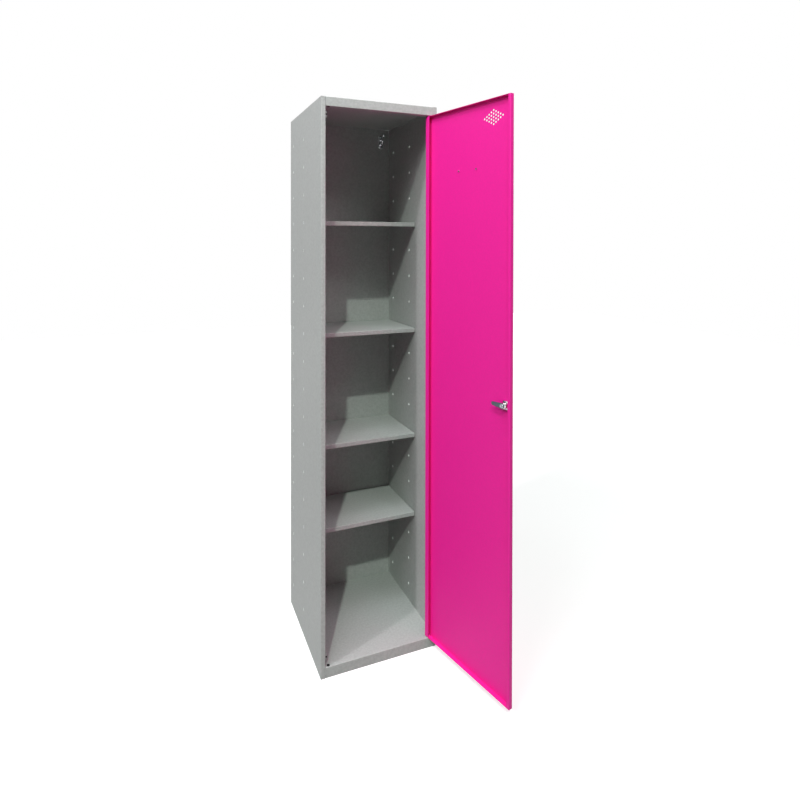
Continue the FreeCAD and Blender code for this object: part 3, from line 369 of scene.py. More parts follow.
class CupboardStage(bpy.types.PropertyGroup):
    """Camera, lamps and floor."""
    camera_place: FloatVectorProperty(name="Camera", description="Where the camera stands", size=3,
                                      subtype="TRANSLATION", default=(-0.6763, -1.8321, 1.3512))
    camera_yaw: FloatProperty(name="Yaw", description="Turn of the camera from straight ahead",
                              unit="ROTATION", default=math.radians(-21.61))
    camera_pitch: FloatProperty(name="Pitch", description="Lift of the camera from level",
                                unit="ROTATION", default=math.radians(-0.50))
    camera_roll: FloatProperty(name="Roll", description="Lean of the camera", unit="ROTATION",
                               default=math.radians(-0.06))
    camera_lens: FloatProperty(name="Lens", description="Focal length on a 36 mm sensor",
                               unit="CAMERA", default=24.84)
    camera_shift: FloatVectorProperty(name="Shift", description="Lens shift across and up", size=2,
                                      default=(0.0343, -0.191))
    floor_size: FloatProperty(name="Floor", description="Side of the floor", unit="LENGTH",
                              default=14.0)
    sky: FloatProperty(name="Ambient", description="Strength of the light from all round",
                       default=0.01, min=0.0)


# ---- Operators -----------------------------------------------------------------------------------
def report_missing(*nodes):
    """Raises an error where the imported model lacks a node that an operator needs."""
    missing = [node for node in nodes if node not in frame["nodes"]]
    if missing:
        raise RuntimeError(f"the packed model has no node named {', '.join(missing)}")


class CUPBOARD_OT_carcass(bpy.types.Operator):
    """Coat the folded carcass panels and shelves in fine-grained light grey, and draw a collar
    round each free peg hole"""
    bl_idname = "cupboard.carcass"
    bl_label = "Carcass and shelves"

    SHEET = 0.8
    HOLE_RADIUS = 3.0
    HOLE_COLUMNS = (11.0, 157.0)
    FIRST_HOLE_HEIGHT = 88.0
    HOLE_PITCH = 95.0
    HOLE_ROWS = 18
    CLIP_ROWS = (3, 6, 10, 14)
    COLLAR_DEPTH = 1.2
    COLLAR_WALL = 0.5
    # Round each peg hole the tone rises 1.65 times and fades back over 1.3 mm: partly the coat drawn back
    # from the rim, partly a painted highlight of the rim.
    THIN_AND_HIGHLIGHT_RADIUS = 4.5
    THIN_AND_HIGHLIGHT_FADE = 1.3
    THIN_AND_HIGHLIGHT_TONE = 1.65

    def thin_coat_and_highlight_round_holes(self, tree, place):
        """The coat draws back from the sharp rim of each punched hole, and its tone rises there: partly
        the thinner coat, and partly a painted highlight of the rim catching the light.  The height is
        wrapped to the nearest row, the depth is measured from the nearer column, and the tone falls
        with the distance that the two make."""
        axes = add(tree, "SeparateXYZ", {0: place})
        above_last_row = self.FIRST_HOLE_HEIGHT + (self.HOLE_ROWS - 0.6) * self.HOLE_PITCH
        below_top = add(tree, "Math", {0: axes.outputs["Z"], 1: above_last_row * MM},
                        operation="MINIMUM")
        height = add(tree, "Math", {0: below_top.outputs[0], 1: self.FIRST_HOLE_HEIGHT * MM},
                     operation="SUBTRACT")
        half_pitch = self.HOLE_PITCH / 2 * MM
        up = add(tree, "Math", {0: height.outputs[0], 1: half_pitch, 2: -half_pitch},
                 operation="WRAP")
        middle = sum(self.HOLE_COLUMNS) / 2 * MM
        from_middle = add(tree, "Math", {0: axes.outputs["Y"], 1: middle}, operation="SUBTRACT")
        to_side = add(tree, "Math", {0: from_middle.outputs[0]}, operation="ABSOLUTE")
        across = add(tree, "Math", {0: to_side.outputs[0], 1: self.HOLE_COLUMNS[1] * MM - middle},
                     operation="SUBTRACT")
        offset = add(tree, "CombineXYZ", {"X": 0.0, "Y": across.outputs[0], "Z": up.outputs[0]})
        distance = add(tree, "VectorMath", {0: offset.outputs[0]}, operation="LENGTH")
        return add(tree, "MapRange", {"Value": distance.outputs["Value"],
                                      "From Min": self.THIN_AND_HIGHLIGHT_RADIUS * MM,
                                      "From Max": (self.THIN_AND_HIGHLIGHT_RADIUS + self.THIN_AND_HIGHLIGHT_FADE) * MM,
                                      "To Min": self.THIN_AND_HIGHLIGHT_TONE, "To Max": 1.0}).outputs[0]

    def collars(self, node):
        """The punch pushes the sheet inwards round each hole: a closed, rounded profile turned about
        the hole's axis, which stands on the panel's inner skin.  Rows that hold a clip have none."""
        low, high = extent(node)
        outward = math.copysign(1, low[0] + high[0])
        skin = (low[0] if outward < 0 else high[0]) - outward * self.SHEET
        rim, foot = self.HOLE_RADIUS + self.COLLAR_WALL, self.HOLE_RADIUS + 2 * self.COLLAR_WALL
        profile = rounded([(self.HOLE_RADIUS, 0.0), (self.HOLE_RADIUS, self.COLLAR_DEPTH),
                           (rim, self.COLLAR_DEPTH), (foot, 0.0)], self.COLLAR_WALL / 2, closed=True)
        ring = turned(profile[:, 0], profile[:, 1], (0, 0, 0), columns=28)
        ring = np.stack([skin - outward * ring[..., 1], ring[..., 0], ring[..., 2]], -1)
        return [ring + (0, y, self.FIRST_HOLE_HEIGHT + row * self.HOLE_PITCH)
                for row in range(self.HOLE_ROWS) if row not in self.CLIP_ROWS
                for y in self.HOLE_COLUMNS]

    def execute(self, context):
        sides = ["side_panel_left", "side_panel_right"]
        nodes = ["back_panel", "top_panel", "base_panel", "shelf_1", "shelf_2", "shelf_3", "shelf_4",
                 "door_stops"]
        report_missing(*sides, *nodes)
        # Satin polyester powder: a soft, broad highlight over fine mottle.  Its 0.5 mm peel is drawn
        # 7 mm wide so that it shows at all.
        satin = dict(colour=context.scene.cupboard_finishes.grey_coat, roughness=0.5,
                     sheen_level=0.25, peel_mm=7.0, peel_depth_mm=0.06, bow_depth_mm=0.5, mottle=0.08)
        finish_nodes(powder_coat("satin powder-coated steel, light grey", **satin), *nodes)
        # The side panels' coat turns lighter round each peg hole: partly the coat drawn back from the
        # rim, partly a painted highlight.
        punched = powder_coat("satin powder-coated steel, light grey, punched", **satin,
                              thinning_and_highlight=self.thin_coat_and_highlight_round_holes)
        finish_nodes(punched, *sides)
        for node in sides:
            make_piece(node + "_hole_collars", self.collars(node), punched, [node],
                       closed_rows=True, adds=True)
        return {"FINISHED"}


class CUPBOARD_OT_shelf_clips(bpy.types.Operator):
    """Finish the shelf clips in bright zinc"""
    bl_idname = "cupboard.shelf_clips"
    bl_label = "Shelf clips"

    def execute(self, context):
        nodes = ["shelf_clips_1", "shelf_clips_2", "shelf_clips_3", "shelf_clips_4"]
        report_missing(*nodes)
        finish_nodes(zinc_plate(context), *nodes)
        return {"FINISHED"}


def zinc_plate(context):
    """Bright zinc on pressed steel: a bluish metal with soft, slightly cloudy reflections."""
    name = "bright zinc-plated steel"
    return bpy.data.materials.get(name) or bare_metal(
        name, context.scene.cupboard_finishes.zinc, roughness=0.3, grain_mm=1.5,
        grain_depth_mm=0.02, variation=0.08)


def chrome_plate(context):
    """Chrome on a polished zinc casting: clear reflections with faint polishing marks."""
    name = "polished chrome-plated zinc"
    return bpy.data.materials.get(name) or bare_metal(
        name, context.scene.cupboard_finishes.chrome, roughness=0.09, grain_mm=2.5,
        grain_depth_mm=0.01, variation=0.03)


class CUPBOARD_OT_door(bpy.types.Operator):
    """Coat the door and its hinge plates in semi-gloss pink"""
    bl_idname = "cupboard.door"
    bl_label = "Door"

    def execute(self, context):
        nodes = ["door_panel", "hinge_plate_upper", "hinge_plate_lower"]
        report_missing(*nodes)
        # Semi-gloss polyester powder: a smoother film than the carcass's, with a clearer highlight.
        # Its 0.5 mm peel is drawn 6 mm wide so that it shows at all.
        coat = powder_coat("semi-gloss powder-coated steel, pink",
                           context.scene.cupboard_finishes.pink_coat,
                           roughness=0.5, sheen_level=0.32, peel_mm=6.0, peel_depth_mm=0.03,
                           bow_depth_mm=0.6, mottle=0.03)
        finish_nodes(coat, *nodes)
        return {"FINISHED"}


class CUPBOARD_OT_pivots(bpy.types.Operator):
    """Build the nylon bushes, the brass washer and the headed pins that the door turns on"""
    bl_idname = "cupboard.pivots"
    bl_label = "Pivots"

    BODY_RADIUS = 4.0
    BORE_RADIUS = 2.55
    PIN_RADIUS = 2.5
    FLANGE_HEIGHT = 1.2
    PIN_HEAD_HEIGHT = 1.5

    def execute(self, context):
        fittings = context.scene.cupboard_fittings
        easing, columns = fittings.edge_easing / MM, fittings.round_steps
        finishes = context.scene.cupboard_finishes
        nylon = moulded("moulded nylon, black", finishes.nylon, 0.42, 1.2, 0.02)
        brass = bare_metal("turned brass", finishes.brass, 0.28, 0.8, 0.01, 0.06, (1, 1, 8))
        for node in ("pivot_bush_upper", "pivot_bush_lower", "spare_bush_upper", "spare_bush_lower"):
            report_missing(node)
            low, high = extent(node)
            flange_radius = (high[0] - low[0]) / 2
            upper = node.endswith("upper")
            face, end = (low[2], high[2]) if upper else (high[2], low[2])
            shoulder = face + math.copysign(self.FLANGE_HEIGHT, end - face)
            profile = rounded([(self.BORE_RADIUS, face), (flange_radius, face),
                               (flange_radius, shoulder), (self.BODY_RADIUS, shoulder),
                               (self.BODY_RADIUS, end), (self.BORE_RADIUS, end)], easing, closed=True)
            middle = (low + high) / 2
            grid = turned(profile[:, 0], profile[:, 1], (middle[0], middle[1], 0), True, columns)
            make_piece(node + "_moulding", [grid], nylon, [node], closed_rows=True)

        report_missing("pivot_washer", "hinge_pin_upper", "hinge_pin_lower")
        low, high = extent("pivot_washer")
        outer = (high[0] - low[0]) / 2
        profile = rounded([(self.BORE_RADIUS, low[2]), (outer, low[2]), (outer, high[2]),
                           (self.BORE_RADIUS, high[2])], easing / 2, closed=True)
        middle = (low + high) / 2
        grid = turned(profile[:, 0], profile[:, 1], (middle[0], middle[1], 0), True, columns)
        make_piece("pivot_washer_ring", [grid], brass, ["pivot_washer"], closed_rows=True)

        for node in ("hinge_pin_upper", "hinge_pin_lower"):
            low, high = extent(node)
            head_radius = (high[0] - low[0]) / 2
            head, tip = (low[2], high[2]) if node.endswith("upper") else (high[2], low[2])
            seat = head + math.copysign(self.PIN_HEAD_HEIGHT, tip - head)
            profile = rounded([(0, head), (head_radius, head), (head_radius, seat),
                               (self.PIN_RADIUS, seat), (self.PIN_RADIUS, tip), (0, tip)], easing)
            middle = (low + high) / 2
            grid = turned(profile[:, 0], profile[:, 1], (middle[0], middle[1], 0), True, columns)
            make_piece(node + "_turning", [grid], zinc_plate(context), [node])
        return {"FINISHED"}


class CUPBOARD_OT_buffers(bpy.types.Operator):
    """Build the domed rubber buttons of the door stops"""
    bl_idname = "cupboard.buffers"
    bl_label = "Stop buffers"

    STEM_RADIUS = 1.5
    HEAD_HEIGHT = 1.5
    TAB_THICKNESS = 1.2
    BUFFER_DIAMETER = 6.0
    DOME_RISE = 0.7
    EDGE_EASING = 0.3

    def execute(self, context):
        report_missing("stop_buffers")
        low, high = extent("stop_buffers")
        radius = self.BUFFER_DIAMETER / 2
        rear_tab = high[1] - self.HEAD_HEIGHT
        front_tab = rear_tab - self.TAB_THICKNESS
        dome = np.linspace(0, 1, 9)
        face = np.stack([radius * dome, low[1] + self.DOME_RISE * dome ** 2], -1)
        rest = rounded([(radius, low[1] + self.DOME_RISE), (radius, front_tab),
                        (self.STEM_RADIUS, front_tab), (self.STEM_RADIUS, rear_tab),
                        (radius, rear_tab), (radius, high[1]), (0, high[1])], self.EDGE_EASING)
        profile = np.vstack([face, rest])
        x = (low[0] + high[0]) / 2
        grids = [turned(profile[:, 0], profile[:, 1], (x, 0, z), columns=40)
                 for z in (low[2] + radius, high[2] - radius)]
        rubber = moulded("moulded rubber, black", context.scene.cupboard_finishes.rubber,
                         0.72, 0.9, 0.02)
        make_piece("stop_buffer_buttons", grids, rubber, ["stop_buffers"])
        return {"FINISHED"}


class CUPBOARD_OT_coat_hooks(bpy.types.Operator):
    """Build the two cast coat hooks with their tapering prongs, and their pan-headed screws"""
    bl_idname = "cupboard.coat_hooks"
    bl_label = "Coat hooks"

    PLATE_HALF_WIDTH = 9.0
    PLATE_HALF_HEIGHT = 25.0
    PLATE_THICKNESS = 2.5
    PLATE_CORNER = 6.0
    PLATE_EDGE = 1.4
    UPRIGHT_SHARE = 0.9
    CROWN_WIDTH = 3.0
    SCREW_FROM_MIDDLE = 19.0
    ROOT_FROM_MIDDLE = 7.0
    PRONG_RADIUS = 3.0
    ROOT_CLEARANCE = 0.3
    ROOT_FLARE = 1.4
    ROOT_FLARE_LENGTH = 1.8
    BLEND_POWER = 6
    SCREW_DOME_RADIUS = 3.3
    SCREW_HEAD_HEIGHT = 2.0
    SCREW_DOME_RISE = 0.5
    # Radius and height above the plate, from the dome's rim down the head and the shank.
    SCREW_OUTLINE = ((3.3, 1.5), (3.5, 1.1), (3.5, 0.0), (2.0, 0.0), (2.0, -3.3), (0.0, -3.3))
    SCREW_EASING = 0.2
    RECESS_HALF_WIDTH = 0.55
    RECESS_END_SLOPE = 0.25
    RECESS_WALL_SLOPE = 0.2
    # Each screw stopped at a turn of its own: the first one's, the next one's, and a drift sideways.
    SCREW_TURNS = (0.4, 0.9, 0.01)
    # Reach, rise, the two shares that place the middle of the arc, and the ball's radius.
    UPPER_PRONG = (32.0, 14.0, 0.6, 4.2, 5.5)
    LOWER_PRONG = (20.0, 8.0, 0.7, -3.0, 4.5)

    def plate(self, x, wall, z, columns=64):
        """Rounded plate: at each angle the rim stands at the corner's centre plus the corner radius
        less the inset, and the front rises from the rim to the crown as a quarter of an ellipse."""
        angle = angles(columns) + math.pi / columns
        corner_x = (self.PLATE_HALF_WIDTH - self.PLATE_CORNER) * np.sign(np.cos(angle))
        corner_z = (self.PLATE_HALF_HEIGHT - self.PLATE_CORNER) * np.sign(np.sin(angle))
        t = np.linspace(0, 1, 9)
        inset = np.concatenate([[0.0, 0.0], self.CROWN_WIDTH * (1 - np.cos(t * math.pi / 2)),
                                [self.PLATE_CORNER]])
        rise = self.PLATE_THICKNESS - self.PLATE_EDGE
        height = np.concatenate([[0.0, self.PLATE_EDGE * self.UPRIGHT_SHARE],
                                 self.PLATE_EDGE + rise * np.sin(t * math.pi / 2),
                                 [self.PLATE_THICKNESS]])
        reach = (self.PLATE_CORNER - inset)[:, None]
        across = corner_x + reach * np.cos(angle)
        up = corner_z + reach * np.sin(angle)
        centre = np.zeros((1, columns))
        across = np.vstack([centre, across, centre])
        up = np.vstack([centre, up, centre])
        height = np.concatenate([[0.0], height, [self.PLATE_THICKNESS]])[:, None]
        return np.stack([x + across, wall - height + 0 * across, z + up], -1)

    def prong(self, x, wall, root_z, shape, taper):
        """Bar along an arc: its radius falls evenly from root to tip, flares where it leaves the
        plate, and swells into a ball, each taken as the sixth root of a sum of sixth powers."""
        reach, rise, middle_share, middle_rise, ball = shape
        root_y = wall - self.PLATE_THICKNESS / 2
        arc, length = arc_through((root_y, root_z),
                                  (wall - reach * middle_share, root_z + middle_rise),
                                  (wall - reach, root_z + rise), 60)
        along = np.concatenate([np.linspace(0, length - ball, 22)[:-1],
                                length - ball * np.cos(np.linspace(0, math.pi, 25))])
        stations = np.linspace(0, length, len(arc))
        on_arc = np.minimum(along, length)
        path = np.stack([np.interp(on_arc, stations, arc[:, 0]),
                         np.interp(on_arc, stations, arc[:, 1])], -1)
        end_tangent = arc[-1] - arc[-2]
        end_tangent /= np.linalg.norm(end_tangent)
        path += np.maximum(along - length, 0)[:, None] * end_tangent
        flare = self.ROOT_FLARE * np.exp(-along / self.ROOT_FLARE_LENGTH)
        bar = np.where(along > length, 0, self.PRONG_RADIUS - taper * along / length + flare)
        sphere = np.sqrt(np.maximum(ball ** 2 - (along - length) ** 2, 0))
        power = self.BLEND_POWER
        surface = swept(path, (bar ** power + sphere ** power) ** (1 / power), x)
        root = np.broadcast_to(surface[:1].mean(1, keepdims=True), surface[:1].shape)
        surface = np.vstack([root, surface])
        surface[..., 1] = np.minimum(surface[..., 1], wall - self.ROOT_CLEARANCE)
        return surface

    def screw(self, x, wall, z, turn, arm, depth):
        """Pan head: a shallow dome over a straight rim.  The cross recess is the dome pressed in
        wherever a point lies within either arm, with walls that lean a little."""
        columns = 96
        angle = angles(columns)[None, :]
        rho = np.linspace(0, self.SCREW_DOME_RADIUS, 30)[:, None]
        u, v = rho * np.cos(angle + turn), rho * np.sin(angle + turn)

        def arms(a, b):
            ends = np.clip((arm - np.abs(a)) / self.RECESS_END_SLOPE, 0, 1)
            walls = np.clip((self.RECESS_HALF_WIDTH - np.abs(b)) / self.RECESS_WALL_SLOPE, 0, 1)
            return ends * walls

        pressed = np.maximum(arms(u, v), arms(v, u))
        fall = self.SCREW_DOME_RISE * (rho / self.SCREW_DOME_RADIUS) ** 2
        height = self.SCREW_HEAD_HEIGHT - fall - depth * pressed
        rim = rounded(self.SCREW_OUTLINE, self.SCREW_EASING)
        radius = np.vstack([rho + 0 * angle, rim[:, :1] + 0 * angle])
        height = np.vstack([height, rim[:, 1:] + 0 * angle])
        seat = wall - self.PLATE_THICKNESS
        return turned(radius, -height, (x, seat, z))

    def execute(self, context):
        report_missing("coat_hook_left", "coat_hook_right", "coat_hook_screws")
        fittings = context.scene.cupboard_fittings
        chrome = chrome_plate(context)
        screws = []
        first_turn, next_turn, drift = self.SCREW_TURNS
        for node in ("coat_hook_left", "coat_hook_right"):
            low, high = extent(node)
            x, wall, z = (low[0] + high[0]) / 2, high[1], low[2] + self.PLATE_HALF_HEIGHT
            taper = fittings.hook_taper / MM
            grids = [self.plate(x, wall, z),
                     self.prong(x, wall, z + self.ROOT_FROM_MIDDLE, self.UPPER_PRONG, taper),
                     self.prong(x, wall, z - self.ROOT_FROM_MIDDLE, self.LOWER_PRONG, taper)]
            make_piece(node + "_casting", grids, chrome, [node])
            for step, side in enumerate((-1, 1)):
                screws.append(self.screw(x, wall, z + side * self.SCREW_FROM_MIDDLE,
                                         first_turn + next_turn * step + drift * x,
                                         fittings.recess_arm / MM, fittings.recess_depth / MM))
        make_piece("coat_hook_screw_set", screws, zinc_plate(context), ["coat_hook_screws"])
        return {"FINISHED"}


class CUPBOARD_OT_lock(bpy.types.Operator):
    """Build the threaded lock housing, its nut, the cam with its washer and screw"""
    bl_idname = "cupboard.lock"
    bl_label = "Cam lock"

    PLUG_BORE = 6.55
    FACE_RECESS = 8.05
    FACE_DEPTH = 1.2
    BEZEL_HEIGHT = 2.2
    BARREL_RADIUS = 9.5
    HALF_FLATS = 8.0
    NUT_BORE = 9.6
    NUT_ACROSS_FLATS = 24.0
    CAM_ROOT_RADIUS = 8.0
    CAM_TIP_RADIUS = 5.5
    CAM_HALF_HOLE = 3.55
    WASHER_BORE = 2.05
    SCREW_ACROSS_FLATS = 7.0
    SCREW_RADIUS = 2.0
    CHAMFER_SLOPE = math.tan(math.radians(30))
    CHAMFER_SHARE = 0.97
    ROWS_PER_PITCH = 6
    THREAD_LEAD = 0.6
    FACE_CHAMFER = 0.15
    NUT_CHAMFER = 0.3
    CAM_MARGIN = 1.5
    CAM_EASING = 0.7
    # The shallow dimple in the middle of the cam screw's head: radius, depth at the middle and rim.
    DIMPLE = (0.6, 0.4, 0.35)

    def housing(self, front, rear, pitch, depth, columns=144):
        """The barrel's radius is a zigzag of the height less the share of a turn, which winds as a
        thread, and it is cut off where it would pass the two level flats."""
        angle = angles(columns)[None, :]
        seat = front + self.BEZEL_HEIGHT
        height = np.arange(seat, rear, pitch / self.ROWS_PER_PITCH)[:, None]
        turns = (height / pitch - angle / FULL_TURN) % 1
        crest = self.BARREL_RADIUS - depth * np.abs(2 * turns - 1)
        crest = crest - np.clip(self.THREAD_LEAD - (rear - height), 0, self.THREAD_LEAD)
        flats = self.HALF_FLATS / np.maximum(np.abs(np.sin(angle)), 0.1)
        thread = np.minimum(crest, flats)
        t = np.linspace(0, math.pi / 2, 9)
        edge = self.BEZEL_HEIGHT / 2
        low, high = extent("lock_housing")
        bezel_radius = (high[2] - low[2]) / 2
        rim = np.stack([bezel_radius - edge + edge * np.sin(t), front + edge - edge * np.cos(t)], -1)
        inner = np.array([(self.PLUG_BORE, rear), (self.PLUG_BORE, front + self.FACE_DEPTH),
                          (self.FACE_RECESS, front + self.FACE_DEPTH),
                          (self.FACE_RECESS, front + self.FACE_CHAMFER),
                          (self.FACE_RECESS + self.FACE_CHAMFER, front)])
        outer = np.vstack([inner, rim, [(bezel_radius, seat)]])
        radius = np.vstack([outer[:, :1] + 0 * angle, thread])
        along = np.vstack([outer[:, 1:] + 0 * angle, height + 0 * angle])
        return radius, along

    def hexagon_rows(self, across_flats, low, high, both=False):
        """Rows up the side of a hexagon whose corners are cut by a cone at 30 degrees."""
        columns = 96
        side = hexagon(across_flats, columns)[None, :]
        cone = across_flats / 2 * self.CHAMFER_SHARE
        cut = np.maximum(side - cone, 0) * self.CHAMFER_SLOPE
        flat = np.full_like(side, cone)
        radius = [flat, side, side] + ([flat] if both else [])
        height = [high + 0 * side, high - cut, low + (cut if both else 0 * side)]
        height += [low + 0 * side] if both else []
        return np.vstack(radius), np.vstack(height)

    def cam(self, low, high, x, z, columns=96):
        """The outline is the rim of two circles with a belt round them: a rim point is its circle's
        centre plus the radius less the inset, along the angle.  A rounded profile goes round the
        rim, and the square hole's side is the half width over the larger of cosine and sine."""
        angle = angles(columns) + math.pi / columns
        tip_x = high[0] - self.CAM_TIP_RADIUS
        lean = (self.CAM_ROOT_RADIUS - self.CAM_TIP_RADIUS) / (tip_x - x)
        at_tip = np.cos(angle) > lean
        centre = np.where(at_tip, tip_x, x)
        radius = np.where(at_tip, self.CAM_TIP_RADIUS, self.CAM_ROOT_RADIUS)
        front, rear = low[1], high[1]
        profile = rounded([(self.CAM_MARGIN, front), (0.0, front), (0.0, rear),
                           (self.CAM_MARGIN, rear)], self.CAM_EASING)
        reach = radius[None, :] - profile[:, :1]
        across = centre + reach * np.cos(angle)
        up = reach * np.sin(angle)
        y = profile[:, 1:] + 0 * angle
        hole = self.CAM_HALF_HOLE / np.maximum(np.abs(np.cos(angle)), np.abs(np.sin(angle)))
        hole_x, hole_z = (x + hole * np.cos(angle))[None, :], (hole * np.sin(angle))[None, :]
        across = np.vstack([across, hole_x, hole_x])
        up = np.vstack([up, hole_z, hole_z])
        y = np.vstack([y, rear + 0 * hole_x, front + 0 * hole_x])
        return np.stack([across, y, z + up], -1)

    def execute(self, context):
        report_missing("lock_housing", "lock_nut", "lock_plug", "lock_cam", "cam_washer", "cam_screw")
        fittings = context.scene.cupboard_fittings
        easing, columns = fittings.edge_easing / MM, fittings.round_steps
        chrome = chrome_plate(context)
        zinc = zinc_plate(context)
        low, high = extent("lock_housing")
        middle = (low + high) / 2
        axis = (middle[0], 0, middle[2])
        radius, along = self.housing(low[1], high[1], fittings.thread_pitch / MM,
                                     fittings.thread_depth / MM)
        make_piece("lock_housing_turning", [turned(radius, along, axis)], chrome, ["lock_housing"],
                   closed_rows=True)
        finish_nodes(chrome, "lock_plug")

        low, high = extent("lock_nut")
        radius, along = self.hexagon_rows(self.NUT_ACROSS_FLATS, low[1], high[1])
        ring = np.ones((1, radius.shape[1]))
        radius = np.vstack([self.NUT_BORE * ring, (self.NUT_BORE + self.NUT_CHAMFER) * ring, radius,
                            self.NUT_BORE * ring])
        along = np.vstack([(high[1] - self.NUT_CHAMFER) * ring, high[1] * ring, along,
                           low[1] * ring])
        make_piece("lock_nut_hexagon", [turned(radius, along, axis)], zinc, ["lock_nut"],
                   closed_rows=True, crease=20)

        low, high = extent("lock_cam")
        # A dark metal for the cam: partly its finish, partly a painted dark reflection of the shaded
        # cupboard.
        cam_metal = bare_metal("dark zinc-plated steel, painted dark reflection", context.scene.cupboard_finishes.dark_zinc_and_painted_reflection,
                               roughness=0.35, grain_mm=1.2, grain_depth_mm=0.02, variation=0.1)
        make_piece("lock_cam_tongue", [self.cam(low, high, middle[0], middle[2])], cam_metal,
                   ["lock_cam"], closed_rows=True)

        low, high = extent("cam_washer")
        outer = (high[2] - low[2]) / 2
        profile = rounded([(self.WASHER_BORE, low[1]), (outer, low[1]), (outer, high[1]),
                           (self.WASHER_BORE, high[1])], easing, closed=True)
        make_piece("cam_washer_ring", [turned(profile[:, 0], profile[:, 1], axis, columns=columns)],
                   zinc, ["cam_washer"], closed_rows=True)

        seat = high[1]
        low, high = extent("cam_screw")
        radius, along = self.hexagon_rows(self.SCREW_ACROSS_FLATS, seat, high[1])
        ring = np.ones((1, radius.shape[1]))
        dimple, deep, shallow = self.DIMPLE
        radius = np.vstack([0 * ring, dimple * ring, radius, self.SCREW_RADIUS * ring,
                            self.SCREW_RADIUS * ring, 0 * ring])
        along = np.vstack([(high[1] - deep) * ring, (high[1] - shallow) * ring, along, seat * ring,
                           low[1] * ring, low[1] * ring])
        make_piece("cam_screw_turning", [turned(radius, along, axis)], zinc, ["cam_screw"], crease=20)
        return {"FINISHED"}


class CUPBOARD_OT_card_holder(bpy.types.Operator):
    """Finish the card holder and its blank card, and build the blind rivets that hold it"""
    bl_idname = "cupboard.card_holder"
    bl_label = "Card holder"

    HEAD_RADIUS = 3.25
    HEAD_HEIGHT = 1.0
    HEAD_EDGE = 0.15
    DOME_FROM_RADIUS = 1.2
    DOME_POWER = 2.4
    SHANK_RADIUS = 1.6
    TAIL_HEIGHT = 2.5
    TAIL_EASING = 0.35
    NAIL_HEAD_RADIUS = 1.9
    NAIL_HEAD_HEIGHT = 0.5
    # Radius and height of outline points: the bore and the nail's broken end from the head's front,
    # the bulb from the tail's front, the cup and the nail's neck from the tail's rear.
    BORE = ((0.0, 0.5), (0.9, 0.45), (0.9, 0.1))
    BULB = ((2.1, 0.0), (2.6, 0.9))
    CUP = ((2.4, -0.5), (2.1, -0.4), (2.0, -1.0), (0.0, -1.1))
    NAIL_END = ((0.0, 0.3), (0.8, 0.35))
    NAIL_NECK = ((0.8, -1.2), (1.9, -1.05))

    def rivets(self, profile, low, high, columns):
        """The same turning at either end of the pair, level with its middle."""
        z = (low[2] + high[2]) / 2
        return [turned(profile[:, 0], profile[:, 1], (x, 0, z), columns=columns)
                for x in (low[0] + self.HEAD_RADIUS, high[0] - self.HEAD_RADIUS)]

    def execute(self, context):
        report_missing("card_holder", "name_card", "card_holder_rivets")
        finishes = context.scene.cupboard_finishes
        # Drawn and anodised: the die's lines run along the holder, 0.1 mm apart, drawn 0.6 mm apart.
        aluminium = bare_metal("satin anodised aluminium", finishes.aluminium, 0.34, 0.6, 0.01, 0.05,
                               (1, 1, 6))
        finish_nodes(aluminium, "card_holder")
        finish_nodes(moulded("uncoated card, white", finishes.card, 0.85, 0.8, 0.01), "name_card")
        low, high = extent("card_holder_rivets")
        front, rear = low[1], high[1]
        seat, inner = front + self.HEAD_HEIGHT, rear - self.TAIL_HEIGHT
        t = np.linspace(0, 1, 8)
        dome = np.stack([
            self.DOME_FROM_RADIUS + (self.HEAD_RADIUS - self.DOME_FROM_RADIUS) * t,
            front + (self.HEAD_HEIGHT - self.HEAD_EDGE) * t ** self.DOME_POWER], -1)
        neck = [(self.HEAD_RADIUS, seat), (self.SHANK_RADIUS, seat), (self.SHANK_RADIUS, inner)]
        tail = rounded(np.vstack([neck, np.add(self.BULB, (0, inner)), np.add(self.CUP, (0, rear))]),
                       self.TAIL_EASING)
        profile = np.vstack([np.add(self.BORE, (0, front)), dome, tail])
        make_piece("card_holder_rivet_pair", self.rivets(profile, low, high, 48), zinc_plate(context),
                   ["card_holder_rivets"])

        # The nail that set each rivet: its head stays in the tail, its broken end in the head.
        nail_head = np.stack([
            self.NAIL_HEAD_RADIUS * (1 - t),
            rear + self.NAIL_HEAD_HEIGHT * (np.sin(t * math.pi / 2) - 1)], -1)
        profile = np.vstack([np.add(self.NAIL_END, (0, front)), np.add(self.NAIL_NECK, (0, rear)),
                             nail_head])
        # The nails are near black: partly their own dark finish, partly painted shade in the rivets'
        # bores.
        steel = bare_metal("phosphated steel, dark, painted bore shade", finishes.dark_steel_and_painted_bore_shade, 0.55, 0.8, 0.01, 0.1)
        make_piece("card_holder_rivet_nails", self.rivets(profile, low, high, 40), steel,
                   ["card_holder_rivets"])
        return {"FINISHED"}


